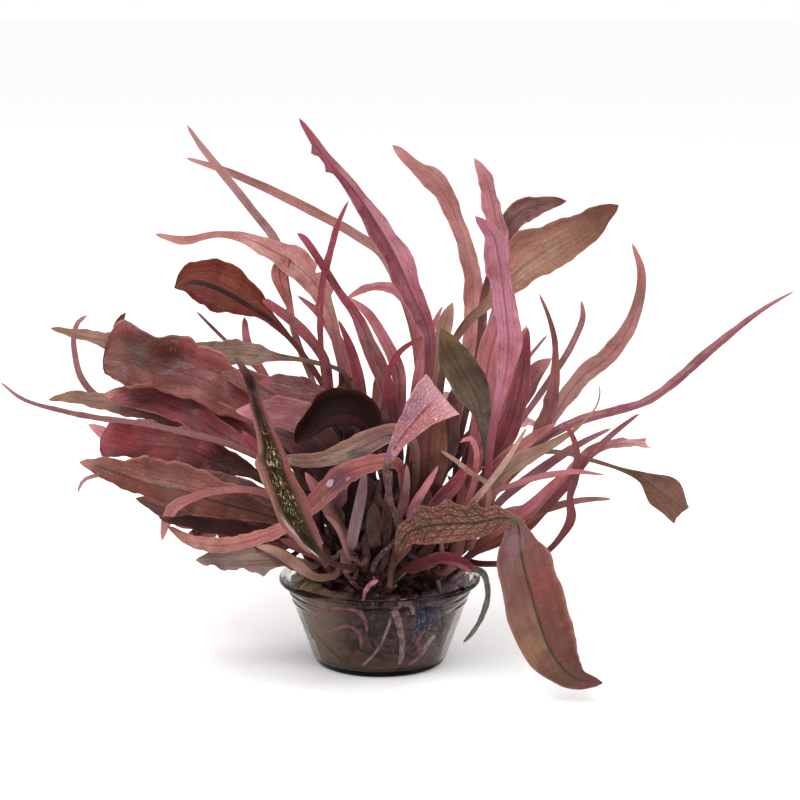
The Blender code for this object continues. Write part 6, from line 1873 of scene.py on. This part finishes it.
# The youngest leaves of a rosette are soft and plain, and stand close round its bud. Each stem's are
# one piece in each tint.
def young_shape(leaf, seed):
    """One young leaf, clasping its stem."""
    lie = clasped(leaf, *fine_lie(leaf, SHOOT_ROUTES[leaf.name], YOUNG_PLACES))
    return leaf_shape(*lie, leaf.fold, seed, sides=YOUNG_SIDES)


for at, crown in enumerate(CROWNS):
    for tint in YOUNG_TINTS:
        members = [leaf for leaf in YOUNG if leaf.crown == crown and leaf.tint == tint]
        if not members:
            continue
        blades = [young_shape(leaf, 2.1 * number + at) for number, leaf in enumerate(members)]
        name = "young_" + tint + "_leaves_" + crown.removeprefix("crown_")
        add_piece(name, joined_shape(blades), SHOOT_FINISHES[tint], "leaf_" + tint)


# Round the old root ball, fine roots run through the clear gel. Most are dark, and some bright ones
# curl over them. A few stouter ones are listed one by one, like the roots above.
ROOT_HAIRS = 110
HAIR_PLACES = 26
LAID_ROOT_PLACES = 44
HAIR_TINTS = {
    "dark": ("root_brown", (74, 48, 50), (40, 24, 26)),
    "pinkish": ("root_pink", (186, 126, 132), (130, 76, 86)),
    "olive": ("root_olive", (134, 114, 90), (88, 68, 52)),
}
HAIR_ORDER = (0, 1, 0, 2, 1)
LAID_ROOTS = {
    "pink": [
        [(-12.8, 8.6, 8.2, 1), (-9, 10.4, 11.8, 1.2), (-4.6, 9.8, 13.8, 1.2), (-2.6, 7.8, 14, 0.9)],
        [(-11.4, 4.4, 8.4, 1), (-8.4, 6.4, 11.4, 1.1), (-5.6, 6.4, 12.8, 1.1), (-3.6, 2.4, 12.4, 0.8)],
        [(7.6, 11.6, 12, 0.8), (9.6, 8, 11.8, 0.9), (8.6, 4.4, 11.2, 0.8), (6.4, 2, 10.8, 0.6)]],
    "pale": [
        [(10.6, 4.6, 10, 1), (9, 2.6, 10.4, 1.1), (6.8, 0.6, 10.2, 0.9)],
        [(-0.4, 12.4, 13.4, 0.8), (-1.6, 9, 13.8, 1), (-0.6, 5, 13, 0.9), (-2, 1.4, 12, 0.7)]],
    "olive": [
        [(11.4, 15.6, 10, 0.9), (12.4, 11, 10.4, 1), (12.2, 6, 9.4, 0.9), (10.6, 2.6, 8.4, 0.6)],
        [(-14.4, 11, 6, 0.9), (-15, 8, 5, 0.8), (-13, 3.6, 4.6, 0.7)]],
}


def hair_route(number):
    """A fine root's way from the ball's top, down and round it in a slow curl, clear of the pot's wall."""
    turn = 2.4 * number
    curl = 1.1 * sin(1.9 * number)
    length = 0.55 + 0.45 * abs(sin(1.3 * number))
    knots = []
    for share in np.linspace(0.0, length, 7):
        height = 14.6 - 12.2 * share
        wall = pot_radius(height) - POT_WALL - 1.2
        ball = np.interp(height, [each for _, each in BALL_PROFILE], [radius for radius, _ in BALL_PROFILE])
        clear = 0.35 + 0.45 * abs(sin(2.7 * number + 4 * share))
        radius = min(wall, ball * 1.04 + clear * (wall - ball))
        if share == 0.0:
            radius = 0.8 * ball
        angle = turn + curl * share + 0.12 * sin(9 * share + number)
        width = 0.55 - 0.25 * share + 0.15 * sin(number)
        knots.append((radius * cos(angle), radius * sin(angle), height, width))
    return smooth_route(knots, HAIR_PLACES)


for at, (tint, (slot, light, dark)) in enumerate(HAIR_TINTS.items()):
    chosen = [number for number in range(ROOT_HAIRS) if HAIR_ORDER[number % 5] == at]
    hairs = [root_shape(hair_route(number), 8, 0.1) for number in chosen]
    hair_finish = root_finish("skin_of_fine_roots_" + tint, light, dark)
    add_piece("fine_roots_" + tint, joined_shape(hairs), hair_finish, slot)

LAID_COLOURS = {
    "pink": ROOT_COLOURS["root_pink_arch"],
    "pale": ROOT_COLOURS["root_pale_front"],
    "olive": ROOT_COLOURS["root_over_rim"],
}
for tint, routes in LAID_ROOTS.items():
    laid = [
        root_shape(smooth_route([placed(*place) for place in route], LAID_ROOT_PLACES)) for route in routes]
    laid_finish = root_finish("skin_of_laid_roots_" + tint, *LAID_COLOURS[tint])
    add_piece("laid_roots_" + tint, joined_shape(laid), laid_finish, "root_" + tint)
